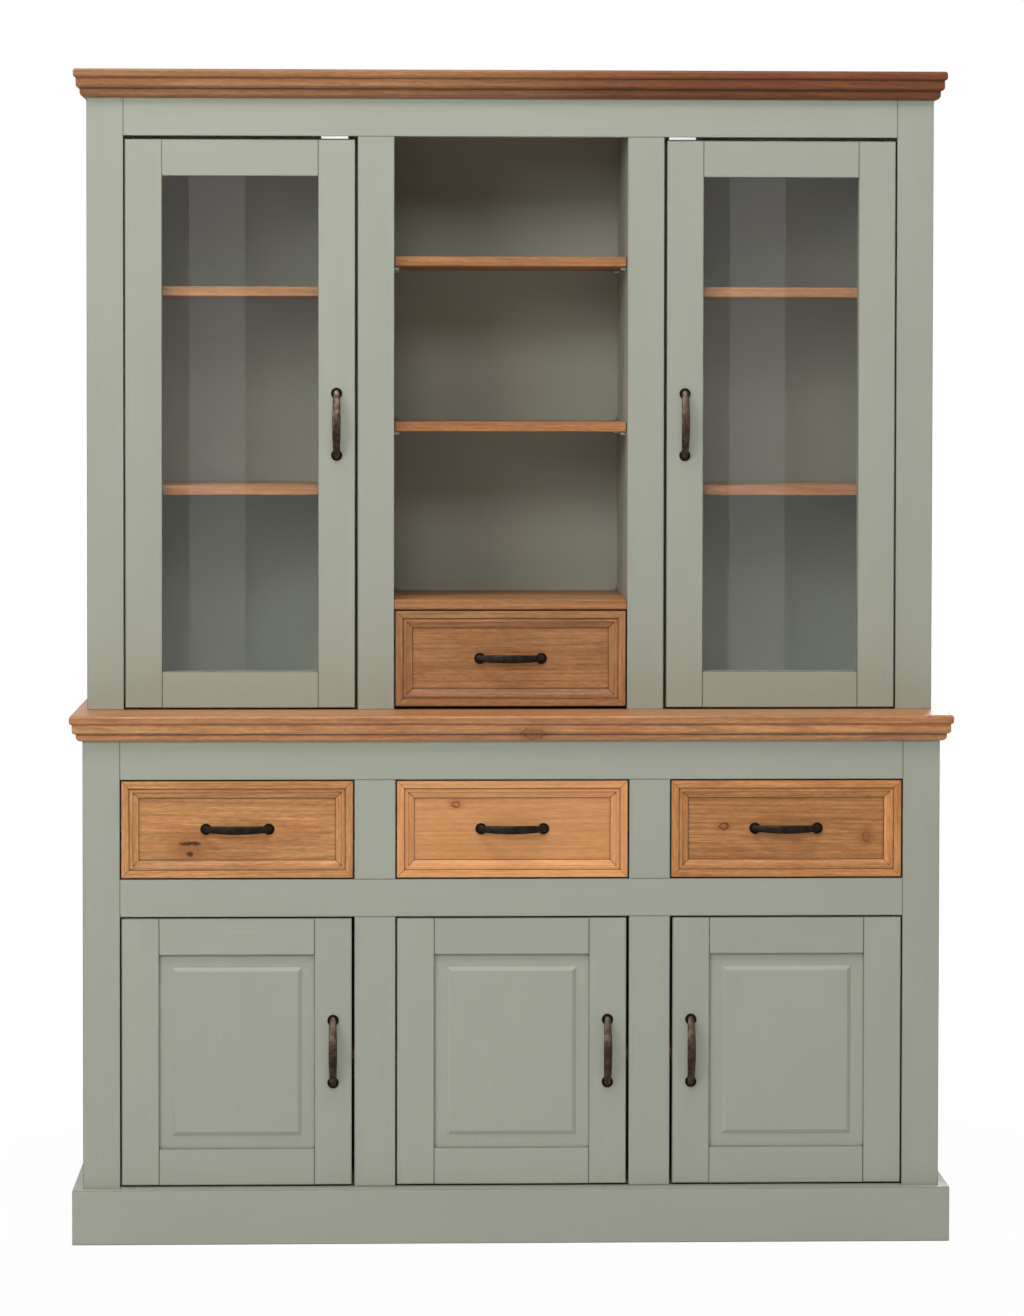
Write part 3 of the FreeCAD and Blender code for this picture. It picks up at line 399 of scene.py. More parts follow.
class TimberKnot(EffectGroup):
    """A knot on a front: a broken dark ring, or a crack over a spot, its heart and a soft halo.

    Apart from what concerns its noise, its numbers are shares of the knot's half width.
    """

    title = "timber_knot"
    inputs = {"Across": 0.0, "Up": 0.0, "Size": 0.008, "Flat": 0.75, "Cracked": 0.0}
    outputs = ("Ring", "Heart", "Halo")
    rough_fineness: float = 150.0
    gap_fineness: float = 210.0
    rough: float = 1.1
    crook: float = 0.7
    crack_rise: float = 0.55
    spot_drop: float = 0.85
    spot_squeeze: float = 1.3
    band_starts: Span = (0.5, 0.75)
    band_ends: Span = (0.85, 1.1)
    gap_span: Span = (0.38, 0.55)
    crack_fades: Span = (0.1, 0.34)
    crack_ends: Span = (0.7, 1.1)
    spot_fades: Span = (0.06, 0.2)
    heart_fades: Span = (0.7, 1.15)
    halo_fades: Span = (0.8, 2.6)

    def draw(self, bench: Bench, given: bpy.types.NodeOutputs) -> dict[str, Socket]:
        """Lay out the group's nodes.

        Args:
            bench: Where they go.
            given: The group's inputs.

        Returns:
            What each output receives.
        """
        place = bench.where()
        across, _, up = bench.split(place)
        rough = bench.swing(bench.noise(place, self.rough_fineness, 3.0), self.rough)
        wide = bench.math("DIVIDE", bench.minus(across, given["Across"]), given["Size"])
        half_height = bench.times(given["Size"], given["Flat"])
        tall = bench.math("DIVIDE", bench.minus(up, given["Up"]), half_height)
        far = bench.plus(bench.math("SQRT", bench.squares(wide, tall)), rough)
        band = bench.times(bench.ramp(far, *self.band_starts), bench.fade(far, *self.band_ends))
        gaps = bench.ramp(bench.noise(place, self.gap_fineness), *self.gap_span)
        crooked = bench.times(rough, self.crook)
        level = bench.math("ABSOLUTE", bench.plus(bench.minus(tall, self.crack_rise), crooked))
        ends = bench.fade(bench.math("ABSOLUTE", wide), *self.crack_ends)
        crack = bench.times(bench.fade(level, *self.crack_fades), ends)
        below = bench.plus(bench.plus(tall, self.spot_drop), crooked)
        beside = bench.times(wide, self.spot_squeeze)
        spot = bench.fade(bench.squares(below, beside), *self.spot_fades)
        both = bench.math("MAXIMUM", crack, spot)
        return {
            "Ring": bench.ramp(given["Cracked"], 0.0, 1.0, bench.times(band, gaps), both),
            "Heart": bench.fade(far, *self.heart_fades),
            "Halo": bench.fade(far, *self.halo_fades),
        }


class CreviceShade(EffectGroup):
    """Painted shade: a darkening in narrow quirks, and a near black in the slots between two pieces."""

    title = "crevice"
    inputs = {"Quirk": 0.004, "Slot": 0.016}
    outputs = ("Dirt", "Dark")
    samples: int = 8
    crease_shade_span: Span = (0.66, 0.97)
    slot_shade_span: Span = (0.26, 0.46)

    def draw(self, bench: Bench, given: bpy.types.NodeOutputs) -> dict[str, Socket]:
        """Lay out the group's nodes.

        Args:
            bench: Where they go.
            given: The group's inputs.

        Returns:
            What each output receives.
        """
        # Short AO rays find the quirks and slots; how hemmed in a point is becomes painted shade.
        kind = "ShaderNodeAmbientOcclusion"
        near = bench.joined(kind, {"Distance": given["Quirk"]}, "AO", samples=self.samples, only_local=True)
        wide = bench.joined(kind, {"Distance": given["Slot"]}, "AO", samples=self.samples)
        return {"Dirt": bench.fade(near, *self.crease_shade_span), "Dark": bench.fade(wide, *self.slot_shade_span)}


class BrushMarks(EffectGroup):
    """The lie of brushed-out paint: long shallow strokes, a slow unevenness and fine specks."""

    title = "brush_marks"
    inputs = {"Fineness": 1.0}
    outputs = ("Strokes", "Mottle", "Specks")
    stroke_spread: Triple = (6.0, 260.0, 260.0)
    mottle_spread: Triple = (4.0, 11.0, 11.0)
    speck_spread: Triple = (900.0, 900.0, 900.0)

    def draw(self, bench: Bench, given: bpy.types.NodeOutputs) -> dict[str, Socket]:
        """Lay out the group's nodes.

        Args:
            bench: Where they go.
            given: The group's inputs.

        Returns:
            What each output receives.
        """
        return {
            "Strokes": bench.board_noise(self.stroke_spread, 4.0, 0.65, given["Fineness"]),
            "Mottle": bench.board_noise(self.mottle_spread, 3.0, 0.55, given["Fineness"]),
            "Specks": bench.board_noise(self.speck_spread, 2.0, 0.6, given["Fineness"]),
        }


class CastSkin(EffectGroup):
    """Hand-worked metal: shallow hammer marks, fine pitting and rubbed high spots."""

    title = "cast_skin"
    inputs = {"Fineness": 1.0}
    outputs = ("Dents", "Pits", "Patches")
    dent_fineness: float = 210.0
    dent_softness: float = 0.8
    pit_fineness: float = 1500.0
    patch_fineness: float = 95.0

    def draw(self, bench: Bench, given: bpy.types.NodeOutputs) -> dict[str, Socket]:
        """Lay out the group's nodes.

        Args:
            bench: Where they go.
            given: The group's inputs.

        Returns:
            What each output receives.
        """
        sized = {0: bench.where(), "Scale": given["Fineness"]}
        place = bench.joined("ShaderNodeVectorMath", sized, "Vector", operation="SCALE")
        cells = {"Vector": place, "Scale": self.dent_fineness, "Smoothness": self.dent_softness}
        return {
            "Dents": bench.joined("ShaderNodeTexVoronoi", cells, "Distance", feature="SMOOTH_F1"),
            "Pits": bench.noise(place, self.pit_fineness, 3.0, 0.65),
            "Patches": bench.noise(place, self.patch_fineness, 4.0, 0.6),
        }


@dataclass(frozen=True)
class Finish:
    """A surface finish that gives one material."""

    name: str

    def material(self) -> bpy.types.Material:
        """Build the material at its first use.

        Returns:
            The material.
        """
        found = bpy.data.materials.get(self.name)
        if found:
            return found
        made = bpy.data.materials.new(self.name)
        made.use_nodes = True
        self.paint(Bench(made.node_tree), made.node_tree.nodes["Principled BSDF"])
        return made

    def paint(self, bench: Bench, shader: bpy.types.Node) -> None:
        """Lay out the material's nodes around its main shader."""
        raise NotImplementedError


@dataclass(frozen=True)
class Knot:
    """A knot on a front, by its place in the shared frame and its half width, in metres."""

    across: float
    up: float
    size: float
    flat: float = 0.75
    cracked: float = 0.0
    dark: float = 0.9


@dataclass(frozen=True)
class Toning:
    """A board that turns darker from left to right."""

    start: float
    end: float
    colour: Colour


@dataclass(frozen=True)
class PineFinish(Finish):
    """Waxed pine, with its early and late wood, knots and darker worn arrises; lengths in metres."""

    early: Colour
    late: Colour
    warm: Colour
    ring_width: float = 0.0052
    contrast: float = 0.45
    warm_span: Span = (0.35, 0.72)
    warm_share: float = 0.7
    fibre: float = 1.0
    lines: tuple[tuple[str, float, float], ...] = (
        ("Streaks", 0.16, 0.14), ("Fibres", 0.14, 0.1), ("Flecks", 0.15, 0.11),
    )
    board_tones: Span = (0.93, 1.06)
    strip_gain: float = 1.0
    strip_half: float = 0.018
    board_half: float = 0.03
    knots: tuple[Knot, ...] = ()
    halo: float = 0.5
    heart: float = 0.35
    heart_shade: float = 0.75
    ring_shade: float = 0.12
    toning: Toning | None = None
    worn_edge: float = 0.0022
    wear: float = 0.3
    wear_shade: float = 0.5
    # Painted shade: quirk is how far the AO looks; the next fields darken the quirks towards the late wood
    # and the slots towards near black.
    quirk: float = 0.006
    crease_shade: float = 0.85
    crease_shade_tone: float = 0.16
    dark: float = 0.9
    slot_shade_colour: Colour = (0.008, 0.006, 0.005)
    rough: float = 0.46
    rough_swing: Span = (-0.07, 0.09)
    coat: float = 0.12
    coat_rough: float = 0.32
    specular: float = 0.35
    ring_relief: float = 0.6
    fibre_relief: float = 0.5
    relief: Span = (0.0003, 0.5)

    def grained(self, bench: Bench, grain: bpy.types.NodeOutputs, lot: Feed) -> Socket:
        """The wood's own colour: its rings, slow changes, streaks, fibres and flecks.

        Args:
            bench: Where the nodes go.
            grain: What the grain's group gives.
            lot: A number that differs from board to board.

        Returns:
            The colour.
        """
        colour = bench.glaze(self.early, grain["Rings"], self.contrast, self.late)
        slow = bench.ramp(grain["Figure"], *self.warm_span, 0.0, self.warm_share)
        colour = bench.blend(slow, colour, self.warm)
        for name, darker, paler in self.lines:
            line = bench.tones(grain[name], 1 - darker * self.fibre, 1 + paler * self.fibre)
            colour = bench.toned(colour, line)
        colour = bench.toned(colour, bench.ramp(lot, 0.0, 1.0, *self.board_tones))
        if self.strip_gain != 1.0:
            _, breadth, _ = bench.split(bench.stored("half"))
            gain = bench.ramp(breadth, self.strip_half, self.board_half, self.strip_gain, 1.0)
            colour = bench.toned(colour, gain)
        return colour

    def knotted(self, bench: Bench, colour: Socket) -> Socket:
        """Set the knots into the wood.

        Args:
            bench: Where the nodes go.
            colour: The wood's colour.

        Returns:
            The colour with the knots.
        """
        for knot in self.knots:
            spot = bench.place(
                TimberKnot, Across=knot.across, Up=knot.up, Size=knot.size,
                Flat=knot.flat, Cracked=knot.cracked,
            )
            colour = bench.glaze(colour, spot["Halo"], self.halo, self.late)
            colour = bench.glaze(colour, spot["Heart"], self.heart, scaled(self.late, self.heart_shade))
            colour = bench.glaze(colour, spot["Ring"], knot.dark, scaled(self.late, self.ring_shade))
        return colour

    def paint(self, bench: Bench, shader: bpy.types.Node) -> None:
        """Lay out the material's nodes.

        Args:
            bench: Where they go.
            shader: The material's main shader.
        """
        grain = bench.place(TimberGrain, Ring_Width=self.ring_width)
        rub = bench.place(EdgeRub, Reach=self.worn_edge, Ragged=self.worn_edge)
        crevice = bench.place(CreviceShade, Quirk=self.quirk)
        colour = self.knotted(bench, self.grained(bench, grain, rub["Tone"]))
        if self.toning:
            across, _, _ = bench.split(bench.where())
            shade = bench.ramp(across, self.toning.start, self.toning.end)
            colour = bench.blend(shade, colour, self.toning.colour, "MULTIPLY")
        colour = bench.glaze(colour, rub["Rub"], self.wear, scaled(self.late, self.wear_shade))
        # Painted shade: quirks darkened towards the late wood, slots towards near black.
        colour = bench.glaze(colour, crevice["Dirt"], self.crease_shade, scaled(self.late, self.crease_shade_tone))
        colour = bench.glaze(colour, crevice["Dark"], self.dark, self.slot_shade_colour)
        rings = bench.times(grain["Rings"], self.ring_relief)
        relief = bench.plus(rings, bench.times(grain["Fibres"], self.fibre_relief))
        bench.fill(
            shader, Base_Color=colour, Roughness=bench.gloss(grain["Fibres"], self.rough, self.rough_swing),
            Normal=bench.bump(relief, *self.relief), Coat_Weight=self.coat, Coat_Roughness=self.coat_rough,
            Specular_IOR_Level=self.specular,
        )


@dataclass(frozen=True)
class PaintFinish(Finish):
    """Satin paint brushed over pine, thin enough for the grain to tell; lengths in metres."""

    colour: Colour
    # Grime for the dark joints, and also the colour of the painted shade in quirks.
    joint_grime_and_shade: Colour
    deep: float = 0.965
    pale: float = 1.025
    plain_share: float = 0.5
    ring_width: float = 0.0085
    grain: float = 0.04
    grain_shade: float = 0.72
    stroke_tones: Span = (0.99, 1.009)
    board_tones: Span = (0.98, 1.015)
    joint: float = 0.6
    reach: float = 0.0018
    ragged: float = 0.001
    # Painted shade: quirk is how far the AO looks; the next fields darken the quirks towards the grime and
    # the slots towards near black.
    quirk: float = 0.0024
    crease_shade: float = 0.55
    dark: float = 0.94
    slot_shade_colour: Colour = (0.006, 0.006, 0.005)
    rough: float = 0.5
    rough_swing: Span = (-0.08, 0.1)
    specular: float = 0.4
    stroke_relief: float = 0.6
    ring_relief: float = 0.5
    speck_relief: float = 0.15
    relief: Span = (0.00025, 0.5)

    def paint(self, bench: Bench, shader: bpy.types.Node) -> None:
        """Lay out the material's nodes.

        Args:
            bench: Where they go.
            shader: The material's main shader.
        """
        grain = bench.place(TimberGrain, Ring_Width=self.ring_width)
        marks = bench.place(BrushMarks)
        rub = bench.place(EdgeRub, Reach=self.reach, Ragged=self.ragged)
        crevice = bench.place(CreviceShade, Quirk=self.quirk)
        deep, pale = scaled(self.colour, self.deep), scaled(self.colour, self.pale)
        colour = bench.blend(bench.tones(marks["Mottle"]), deep, pale)
        colour = bench.blend(self.plain_share, colour, self.colour)
        colour = bench.glaze(colour, grain["Rings"], self.grain, scaled(self.colour, self.grain_shade))
        colour = bench.toned(colour, bench.tones(marks["Strokes"], *self.stroke_tones))
        colour = bench.toned(colour, bench.ramp(rub["Tone"], 0.0, 1.0, *self.board_tones))
        colour = bench.glaze(colour, rub["Rub"], self.joint, self.joint_grime_and_shade)
        # Painted shade: quirks darkened towards the grime colour, slots towards near black.
        colour = bench.glaze(colour, crevice["Dirt"], self.crease_shade, self.joint_grime_and_shade)
        colour = bench.glaze(colour, crevice["Dark"], self.dark, self.slot_shade_colour)
        strokes = bench.times(marks["Strokes"], self.stroke_relief)
        relief = bench.plus(strokes, bench.times(grain["Rings"], self.ring_relief))
        relief = bench.plus(relief, bench.times(marks["Specks"], self.speck_relief))
        bench.fill(
            shader, Base_Color=colour, Roughness=bench.gloss(marks["Strokes"], self.rough, self.rough_swing),
            Normal=bench.bump(relief, *self.relief), Specular_IOR_Level=self.specular,
        )


@dataclass(frozen=True)
class BronzeFinish(Finish):
    """Dark bronzed iron with a hammered skin and rubbed high spots; lengths in metres."""

    dark: Colour
    rubbed: Colour
    share: float = 0.6
    rub_span: Span = (0.38, 0.68)
    pit_span: Span = (0.6, 0.72)
    pit_share: float = 0.6
    pit_shade: float = 0.4
    rough: float = 0.42
    rough_rise: float = 0.12
    rough_fall: float = 0.1
    metallic: float = 0.75
    pit_relief: float = 0.25
    relief: Span = (0.0006, 0.45)

    def paint(self, bench: Bench, shader: bpy.types.Node) -> None:
        """Lay out the material's nodes.

        Args:
            bench: Where they go.
            shader: The material's main shader.
        """
        skin = bench.place(CastSkin)
        rubbed = bench.ramp(skin["Patches"], *self.rub_span)
        colour = bench.glaze(self.dark, rubbed, self.share, self.rubbed)
        pitted = bench.ramp(skin["Pits"], *self.pit_span, 0.0, self.pit_share)
        colour = bench.blend(pitted, colour, scaled(self.dark, self.pit_shade))
        gloss = bench.tones(skin["Patches"], self.rough + self.rough_rise, self.rough - self.rough_fall)
        relief = bench.plus(skin["Dents"], bench.times(skin["Pits"], self.pit_relief))
        bench.fill(
            shader, Base_Color=colour, Roughness=gloss, Metallic=self.metallic,
            Normal=bench.bump(relief, *self.relief),
        )


@dataclass(frozen=True)
class GlassFinish(Finish):
    """Clear sheet glass with a breath of dust, which lets lamp light through."""

    colour: Colour
    index: float = 1.5
    dust: float = 0.002
    dust_span: Span = (0.5, 0.8)
    streak_spread: Triple = (9.0, 9.0, 1.6)

    def paint(self, bench: Bench, shader: bpy.types.Node) -> None:
        """Lay out the material's nodes.

        Args:
            bench: Where they go.
            shader: The material's main shader.
        """
        streaks = bench.noise(bench.vector("MULTIPLY", bench.where(), self.streak_spread), 1.0, 4.0, 0.6)
        gloss = bench.ramp(streaks, *self.dust_span, 0.0, self.dust)
        bench.fill(shader, Base_Color=self.colour, Transmission_Weight=1.0, IOR=self.index, Roughness=gloss)
        clear = bench.node("ShaderNodeBsdfTransparent")
        bench.fill(clear, Color=self.colour)
        shadow = bench.node("ShaderNodeLightPath").outputs["Is Shadow Ray"]
        bench.choose(shadow, shader, clear, "Material Output")


@dataclass(frozen=True)
class MouldedFinish(Finish):
    """Moulded plastic, pale up in the hutch and brown down in the base; lengths in metres."""

    low: Colour
    high: Colour
    change: float
    change_half: float = 0.01
    fineness: float = 1.4
    patch_tones: Span = (0.93, 1.03)
    rough_range: Span = (0.36, 0.5)
    relief: Span = (0.00008, 0.4)

    def paint(self, bench: Bench, shader: bpy.types.Node) -> None:
        """Lay out the material's nodes.

        Args:
            bench: Where they go.
            shader: The material's main shader.
        """
        _, _, up = bench.split(bench.where())
        upper = bench.ramp(up, self.change - self.change_half, self.change + self.change_half)
        skin = bench.place(CastSkin, Fineness=self.fineness)
        colour = bench.blend(upper, self.low, self.high)
        colour = bench.toned(colour, bench.tones(skin["Patches"], *self.patch_tones))
        bench.fill(
            shader, Base_Color=colour, Roughness=bench.tones(skin["Pits"], *self.rough_range),
            Normal=bench.bump(skin["Pits"], *self.relief),
        )


@dataclass(frozen=True)
class SteelFinish(Finish):
    """Plated steel with the drawn lines of the mill; lengths in metres."""

    colour: Colour
    rough: float = 0.32
    rough_swing: Span = (-0.08, 0.12)
    fineness: float = 0.8
    wear_span: Span = (0.35, 0.7)
    wear_shade: float = 0.7
    line_spread: Triple = (90.0, 90.0, 2600.0)
    relief: Span = (0.00005, 0.35)

    def paint(self, bench: Bench, shader: bpy.types.Node) -> None:
        """Lay out the material's nodes.

        Args:
            bench: Where they go.
            shader: The material's main shader.
        """
        lines = bench.noise(bench.vector("MULTIPLY", bench.where(), self.line_spread), 1.0, 3.0, 0.6)
        skin = bench.place(CastSkin, Fineness=self.fineness)
        worn = bench.ramp(skin["Patches"], *self.wear_span)
        colour = bench.blend(worn, self.colour, scaled(self.colour, self.wear_shade))
        bench.fill(
            shader, Base_Color=colour, Metallic=1.0, Normal=bench.bump(lines, *self.relief),
            Roughness=bench.gloss(lines, self.rough, self.rough_swing),
        )


@dataclass(frozen=True)
class FloorFinish(Finish):
    """Pale floor, plain near the cabinet, for its shadow, and white further out; lengths in metres."""

    mirrored: float
    dull: Colour = (0.78, 0.78, 0.78)
    pale: Colour = (0.82, 0.82, 0.82)
    fineness: float = 3.0
    rough: float = 0.9
    squeeze: float = 0.75
    plain_to: float = 0.7
    white_from: float = 1.6
    lift: float = 0.96

    def paint(self, bench: Bench, shader: bpy.types.Node) -> None:
        """Lay out the material's nodes.

        Args:
            bench: Where they go.
            shader: The material's main shader.
        """
        where = bench.where()
        across, deep, _ = bench.split(where)
        away = bench.math("SQRT", bench.squares(bench.times(across, self.squeeze), deep))
        far = bench.ramp(away, self.plain_to, self.white_from)
        mottle = bench.noise(where, self.fineness, 3.0)
        bench.fill(shader, Base_Color=bench.blend(mottle, self.dull, self.pale), Roughness=self.rough)
        glow = bench.node("ShaderNodeEmission")
        bench.fill(glow, Color=WHITE, Strength=bench.unless_mirrored(self.mirrored))
        share = bench.times(bench.seen(), bench.ramp(far, 0.0, 1.0, self.lift, 1.0))
        bench.choose(share, shader, glow, "Material Output")


@dataclass
class Joinery:
    """Finds the boards of a CAD node, gives each its own grain, and eases its arrises; in metres."""

    turn: float = math.radians(35.0)
    shortest: float = 0.012
    closest: float = 1e-5
    tiny: float = 1e-18

    def boards(self, spots: list[int], faces: list[tuple[int, ...]]) -> list[int]:
        """Count off the closed shells of a mesh, face by face.

        Args:
            spots: The place number of each vertex; vertices at one place share it.
            faces: The vertices of each face.

        Returns:
            The board that each face belongs to.
        """
        open_edges: set[tuple[int, int]] = set()
        current = 0
        found = []
        for face in faces:
            found.append(current)
            ring = [spots[vertex] for vertex in face]
            for start, end in zip(ring, ring[1:] + ring[:1]):
                if (end, start) in open_edges:
                    open_edges.remove((end, start))
                else:
                    open_edges.add((start, end))
            if not open_edges:
                current += 1
        return found

    def lay_grain(self, obj: bpy.types.Object, points: np.ndarray, owner: np.ndarray) -> None:
        """Store where each vertex lies in its board, the board's half size and its number.

        Args:
            obj: The node's object.
            points: Vertex places.
            owner: The board of each vertex.
        """
        place = np.zeros_like(points)
        half = np.zeros_like(points)
        seed = np.zeros(len(points))
        for board in np.unique(owner):
            picked = owner == board
            low = points[picked].min(axis=0)
            high = points[picked].max(axis=0)
            order = np.argsort(low - high, kind="stable")
            place[picked] = (points[picked] - (low + high) / 2)[:, order]
            half[picked] = ((high - low) / 2)[order]
            seed[picked] = share_of(f"{obj.name}{board}")
        for name, kind, field, values in (
            ("board", "FLOAT_VECTOR", "vector", place),
            ("half", "FLOAT_VECTOR", "vector", half),
            ("seed", "FLOAT", "value", seed),
        ):
            layer = obj.data.attributes.new(name, kind, "POINT")
            layer.data.foreach_set(field, values.astype(np.float32).ravel())

    def prepare(self, obj: bpy.types.Object, ease: float) -> int:
        """Give a node its grain and its eased arrises.

        Args:
            obj: The node's object.
            ease: Width of the eased arris, in metres.

        Returns:
            How many boards the node has.
        """
        mesh = obj.data
        points = np.empty(len(mesh.vertices) * 3)
        mesh.vertices.foreach_get("co", points)
        points = points.reshape(-1, 3)
        numbers: dict[tuple[int, ...], int] = {}
        keys = np.round(points / self.closest).astype(int).tolist()
        spots = [numbers.setdefault(tuple(key), len(numbers)) for key in keys]
        faces = [tuple(face.vertices) for face in mesh.polygons]
        owner = np.zeros(len(points), int)
        for face, board in zip(faces, self.boards(spots, faces)):
            owner[list(face)] = board
        self.lay_grain(obj, points, owner)
        self.mark_edges(mesh, points, spots, faces, owner)
        self.join(obj, spots, owner)
        bevel = obj.modifiers.new("eased_arris", "BEVEL")
        bevel.limit_method = "WEIGHT"
        bevel.width = ease
        bevel.segments = 2
        normals = obj.modifiers.new("flat_faces", "WEIGHTED_NORMAL")
        normals.keep_sharp = True
        return int(owner.max()) + 1

    def mark_edges(self, mesh: bpy.types.Mesh, points: np.ndarray, spots: list[int],
                   faces: list[tuple[int, ...]], owner: np.ndarray) -> None:
        """Pick the long outer arrises for easing, and keep the other corners crisp.

        Args:
            mesh: The node's mesh.
            points: Vertex places.
            spots: The place number of each vertex.
            faces: The vertices of each face.
            owner: The board of each vertex.
        """
        normals, middles = [], []
        meets: dict[tuple[int, int, int], list[int]] = {}
        for index, face in enumerate(faces):
            first, second, third = (points[vertex] for vertex in face[:3])
            normal = np.cross(second - first, third - first)
            normals.append(normal / max(float(np.linalg.norm(normal)), self.tiny))
            middles.append(points[list(face)].mean(axis=0))
            for start, end in zip(face, face[1:] + face[:1]):
                key = (owner[start], *sorted((spots[start], spots[end])))
                meets.setdefault(key, []).append(index)
        ease, crisp = [], []
        limit = math.cos(self.turn)
        for edge in mesh.edges:
            start, end = edge.vertices
            pair = meets.get((owner[start], *sorted((spots[start], spots[end]))), [])
            corner = len(pair) == 2 and float(normals[pair[0]] @ normals[pair[1]]) < limit
            outward = corner and float(normals[pair[0]] @ (middles[pair[1]] - points[start])) < 0
            long = float(np.linalg.norm(points[start] - points[end])) > self.shortest
            ease.append(1.0 if outward and long else 0.0)
            crisp.append(corner and not (outward and long))
        mesh.attributes.new("bevel_weight_edge", "FLOAT", "EDGE").data.foreach_set("value", ease)
        layer = mesh.attributes.get("sharp_edge") or mesh.attributes.new("sharp_edge", "BOOLEAN", "EDGE")
        layer.data.foreach_set("value", crisp)

    def join(self, obj: bpy.types.Object, spots: list[int], owner: np.ndarray) -> None:
        """Close each board's own seams, without joining it to the boards that it touches.

        Args:
            obj: The node's object.
            spots: The place number of each vertex.
            owner: The board of each vertex.
        """
        touching: dict[int, set[int]] = {}
        for spot, board in zip(spots, owner.tolist()):
            touching.setdefault(spot, set()).add(board)
        lots: dict[int, int] = {}
        for board in range(int(owner.max()) + 1):
            groups = [group for group in touching.values() if board in group]
            near = {lots[other] for group in groups for other in group if other in lots}
            lots[board] = next(lot for lot in range(len(lots) + 1) if lot not in near)
        for lot in sorted(set(lots.values())):
            members = [index for index, board in enumerate(owner.tolist()) if lots[board] == lot]
            group = obj.vertex_groups.new(name=f"boards_{lot}")
            group.add(members, 1.0, "REPLACE")
            weld = obj.modifiers.new(f"seams_{lot}", "WELD")
            weld.vertex_group = group.name
            weld.merge_threshold = self.closest


# The grime colours darken the joints and also serve as the painted shade in the quirks.
SAGE = PaintFinish("sage_satin", colour=tint(170, 173, 158), joint_grime_and_shade=tint(78, 78, 66))
SAGE_DOOR = PaintFinish(
    "sage_satin_door", colour=tint(170, 173, 158), joint_grime_and_shade=tint(56, 56, 47), joint=0.75, reach=0.0024,
)
TOP_PINE = PineFinish("top_pine", early=tint(195, 139, 93), late=tint(144, 88, 50), warm=tint(174, 116, 71))
# Paler copy of the worktop's pine: a painted highlight on the moulding, whose lower step the lamps leave in
# shade; its knot is the wood's own.
LIT_TRIM_PINE = PineFinish(
    "trim_pine", early=tint(206, 148, 100), late=tint(154, 96, 56), warm=tint(186, 126, 79),
    knots=(Knot(0.037, 0.897, 0.024, 0.42, dark=0.4),),
)
CORNICE_PINE = PineFinish(
    "cornice_pine", early=tint(171, 121, 79), late=tint(124, 75, 42), warm=tint(150, 98, 58),
    toning=Toning(-0.2, 0.32, (0.55, 0.37, 0.25)),
)
SHELF_PINE = PineFinish(
    "shelf_pine", early=tint(181, 126, 80), late=tint(132, 81, 45), warm=tint(161, 106, 62),
)
BARE_PINE = PineFinish(
    "bare_pine", early=tint(222, 190, 146), late=tint(186, 142, 92), warm=tint(208, 170, 120),
    rough=0.62, coat=0.0,
)
DOOR_BRONZE = BronzeFinish("brown_bronze", tint(66, 49, 37), tint(116, 102, 88), share=0.5, rough=0.42)
DRAWER_BRONZE = BronzeFinish("dark_bronze", tint(36, 27, 22), tint(72, 58, 48), share=0.45, rough=0.46)
CUP_BRONZE = BronzeFinish("black_bronze", tint(30, 24, 20), tint(48, 39, 33), share=0.4, rough=0.52)
PANE = GlassFinish("sheet_glass", colour=(0.93, 0.945, 0.935))
MOULDED = MouldedFinish("moulded_plastic", low=tint(96, 74, 54), high=tint(246, 245, 240), change=0.75)
PLATED = SteelFinish("black_steel", colour=(0.06, 0.055, 0.05), rough=0.45)


def skin(shell: bmesh.types.BMesh, rings: list[list[Vector | Triple]], slot: int = 0) -> None:
    """Join closed rings of points, in their order, and cap both ends.

    Args:
        shell: The mesh to add to.
        rings: The rings, each with the same number of points.
        slot: Which of the piece's materials the faces take.
    """
    made = [[shell.verts.new(point) for point in ring] for ring in rings]
    for first, second in zip(made, made[1:]):
        for index, point in enumerate(first):
            other = (index + 1) % len(first)
            shell.faces.new((point, first[other], second[other], second[index])).material_index = slot
    for cap in (made[0], made[-1]):
        shell.faces.new(cap).material_index = slot


def fit_piece(shell: bmesh.types.BMesh, name: str, body: str,
              finishes: tuple[Finish, ...]) -> bpy.types.Object:
    """Turn a finished shell into a piece that rides on a body.

    Args:
        shell: The mesh, which is freed.
        name: The piece's name.
        body: The body that carries it.
        finishes: Its finishes, in the order of its material slots.

    Returns:
        The new piece.
    """
    bmesh.ops.recalc_face_normals(shell, faces=shell.faces[:])
    mesh = bpy.data.meshes.new(name)
    shell.to_mesh(mesh)
    shell.free()
    for finish in finishes:
        mesh.materials.append(finish.material())
    piece = bpy.data.objects.new(name, mesh)
    bpy.context.scene.collection.objects.link(piece)
    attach(piece, body)
    LOG.info("%s on %s in %s", name, body, ", ".join(finish.name for finish in finishes))
    return piece


class Lie(Enum):
    """How a handle lies on its front."""

    ACROSS = "across"
    UPRIGHT = "upright"


class Assembly:
    """A part of the cabinet whose CAD nodes stay and take a finish."""

    joinery: Joinery = Joinery()

    def dress(self, node: str, finish: Finish, ease: float = 0.0) -> None:
        """Give a CAD node its finish and, for boards, grain and eased arrises.

        Args:
            node: The node's name.
            finish: Its finish.
            ease: Width of the eased arrises in metres, or zero for a piece that is no board.
        """
        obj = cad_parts[node]
        if ease:
            count = self.joinery.prepare(obj, ease)
            LOG.info("%s: %d boards in %s", node, count, finish.name)
        else:
            LOG.info("%s in %s", node, finish.name)
        obj.material_slots[0].material = finish.material()


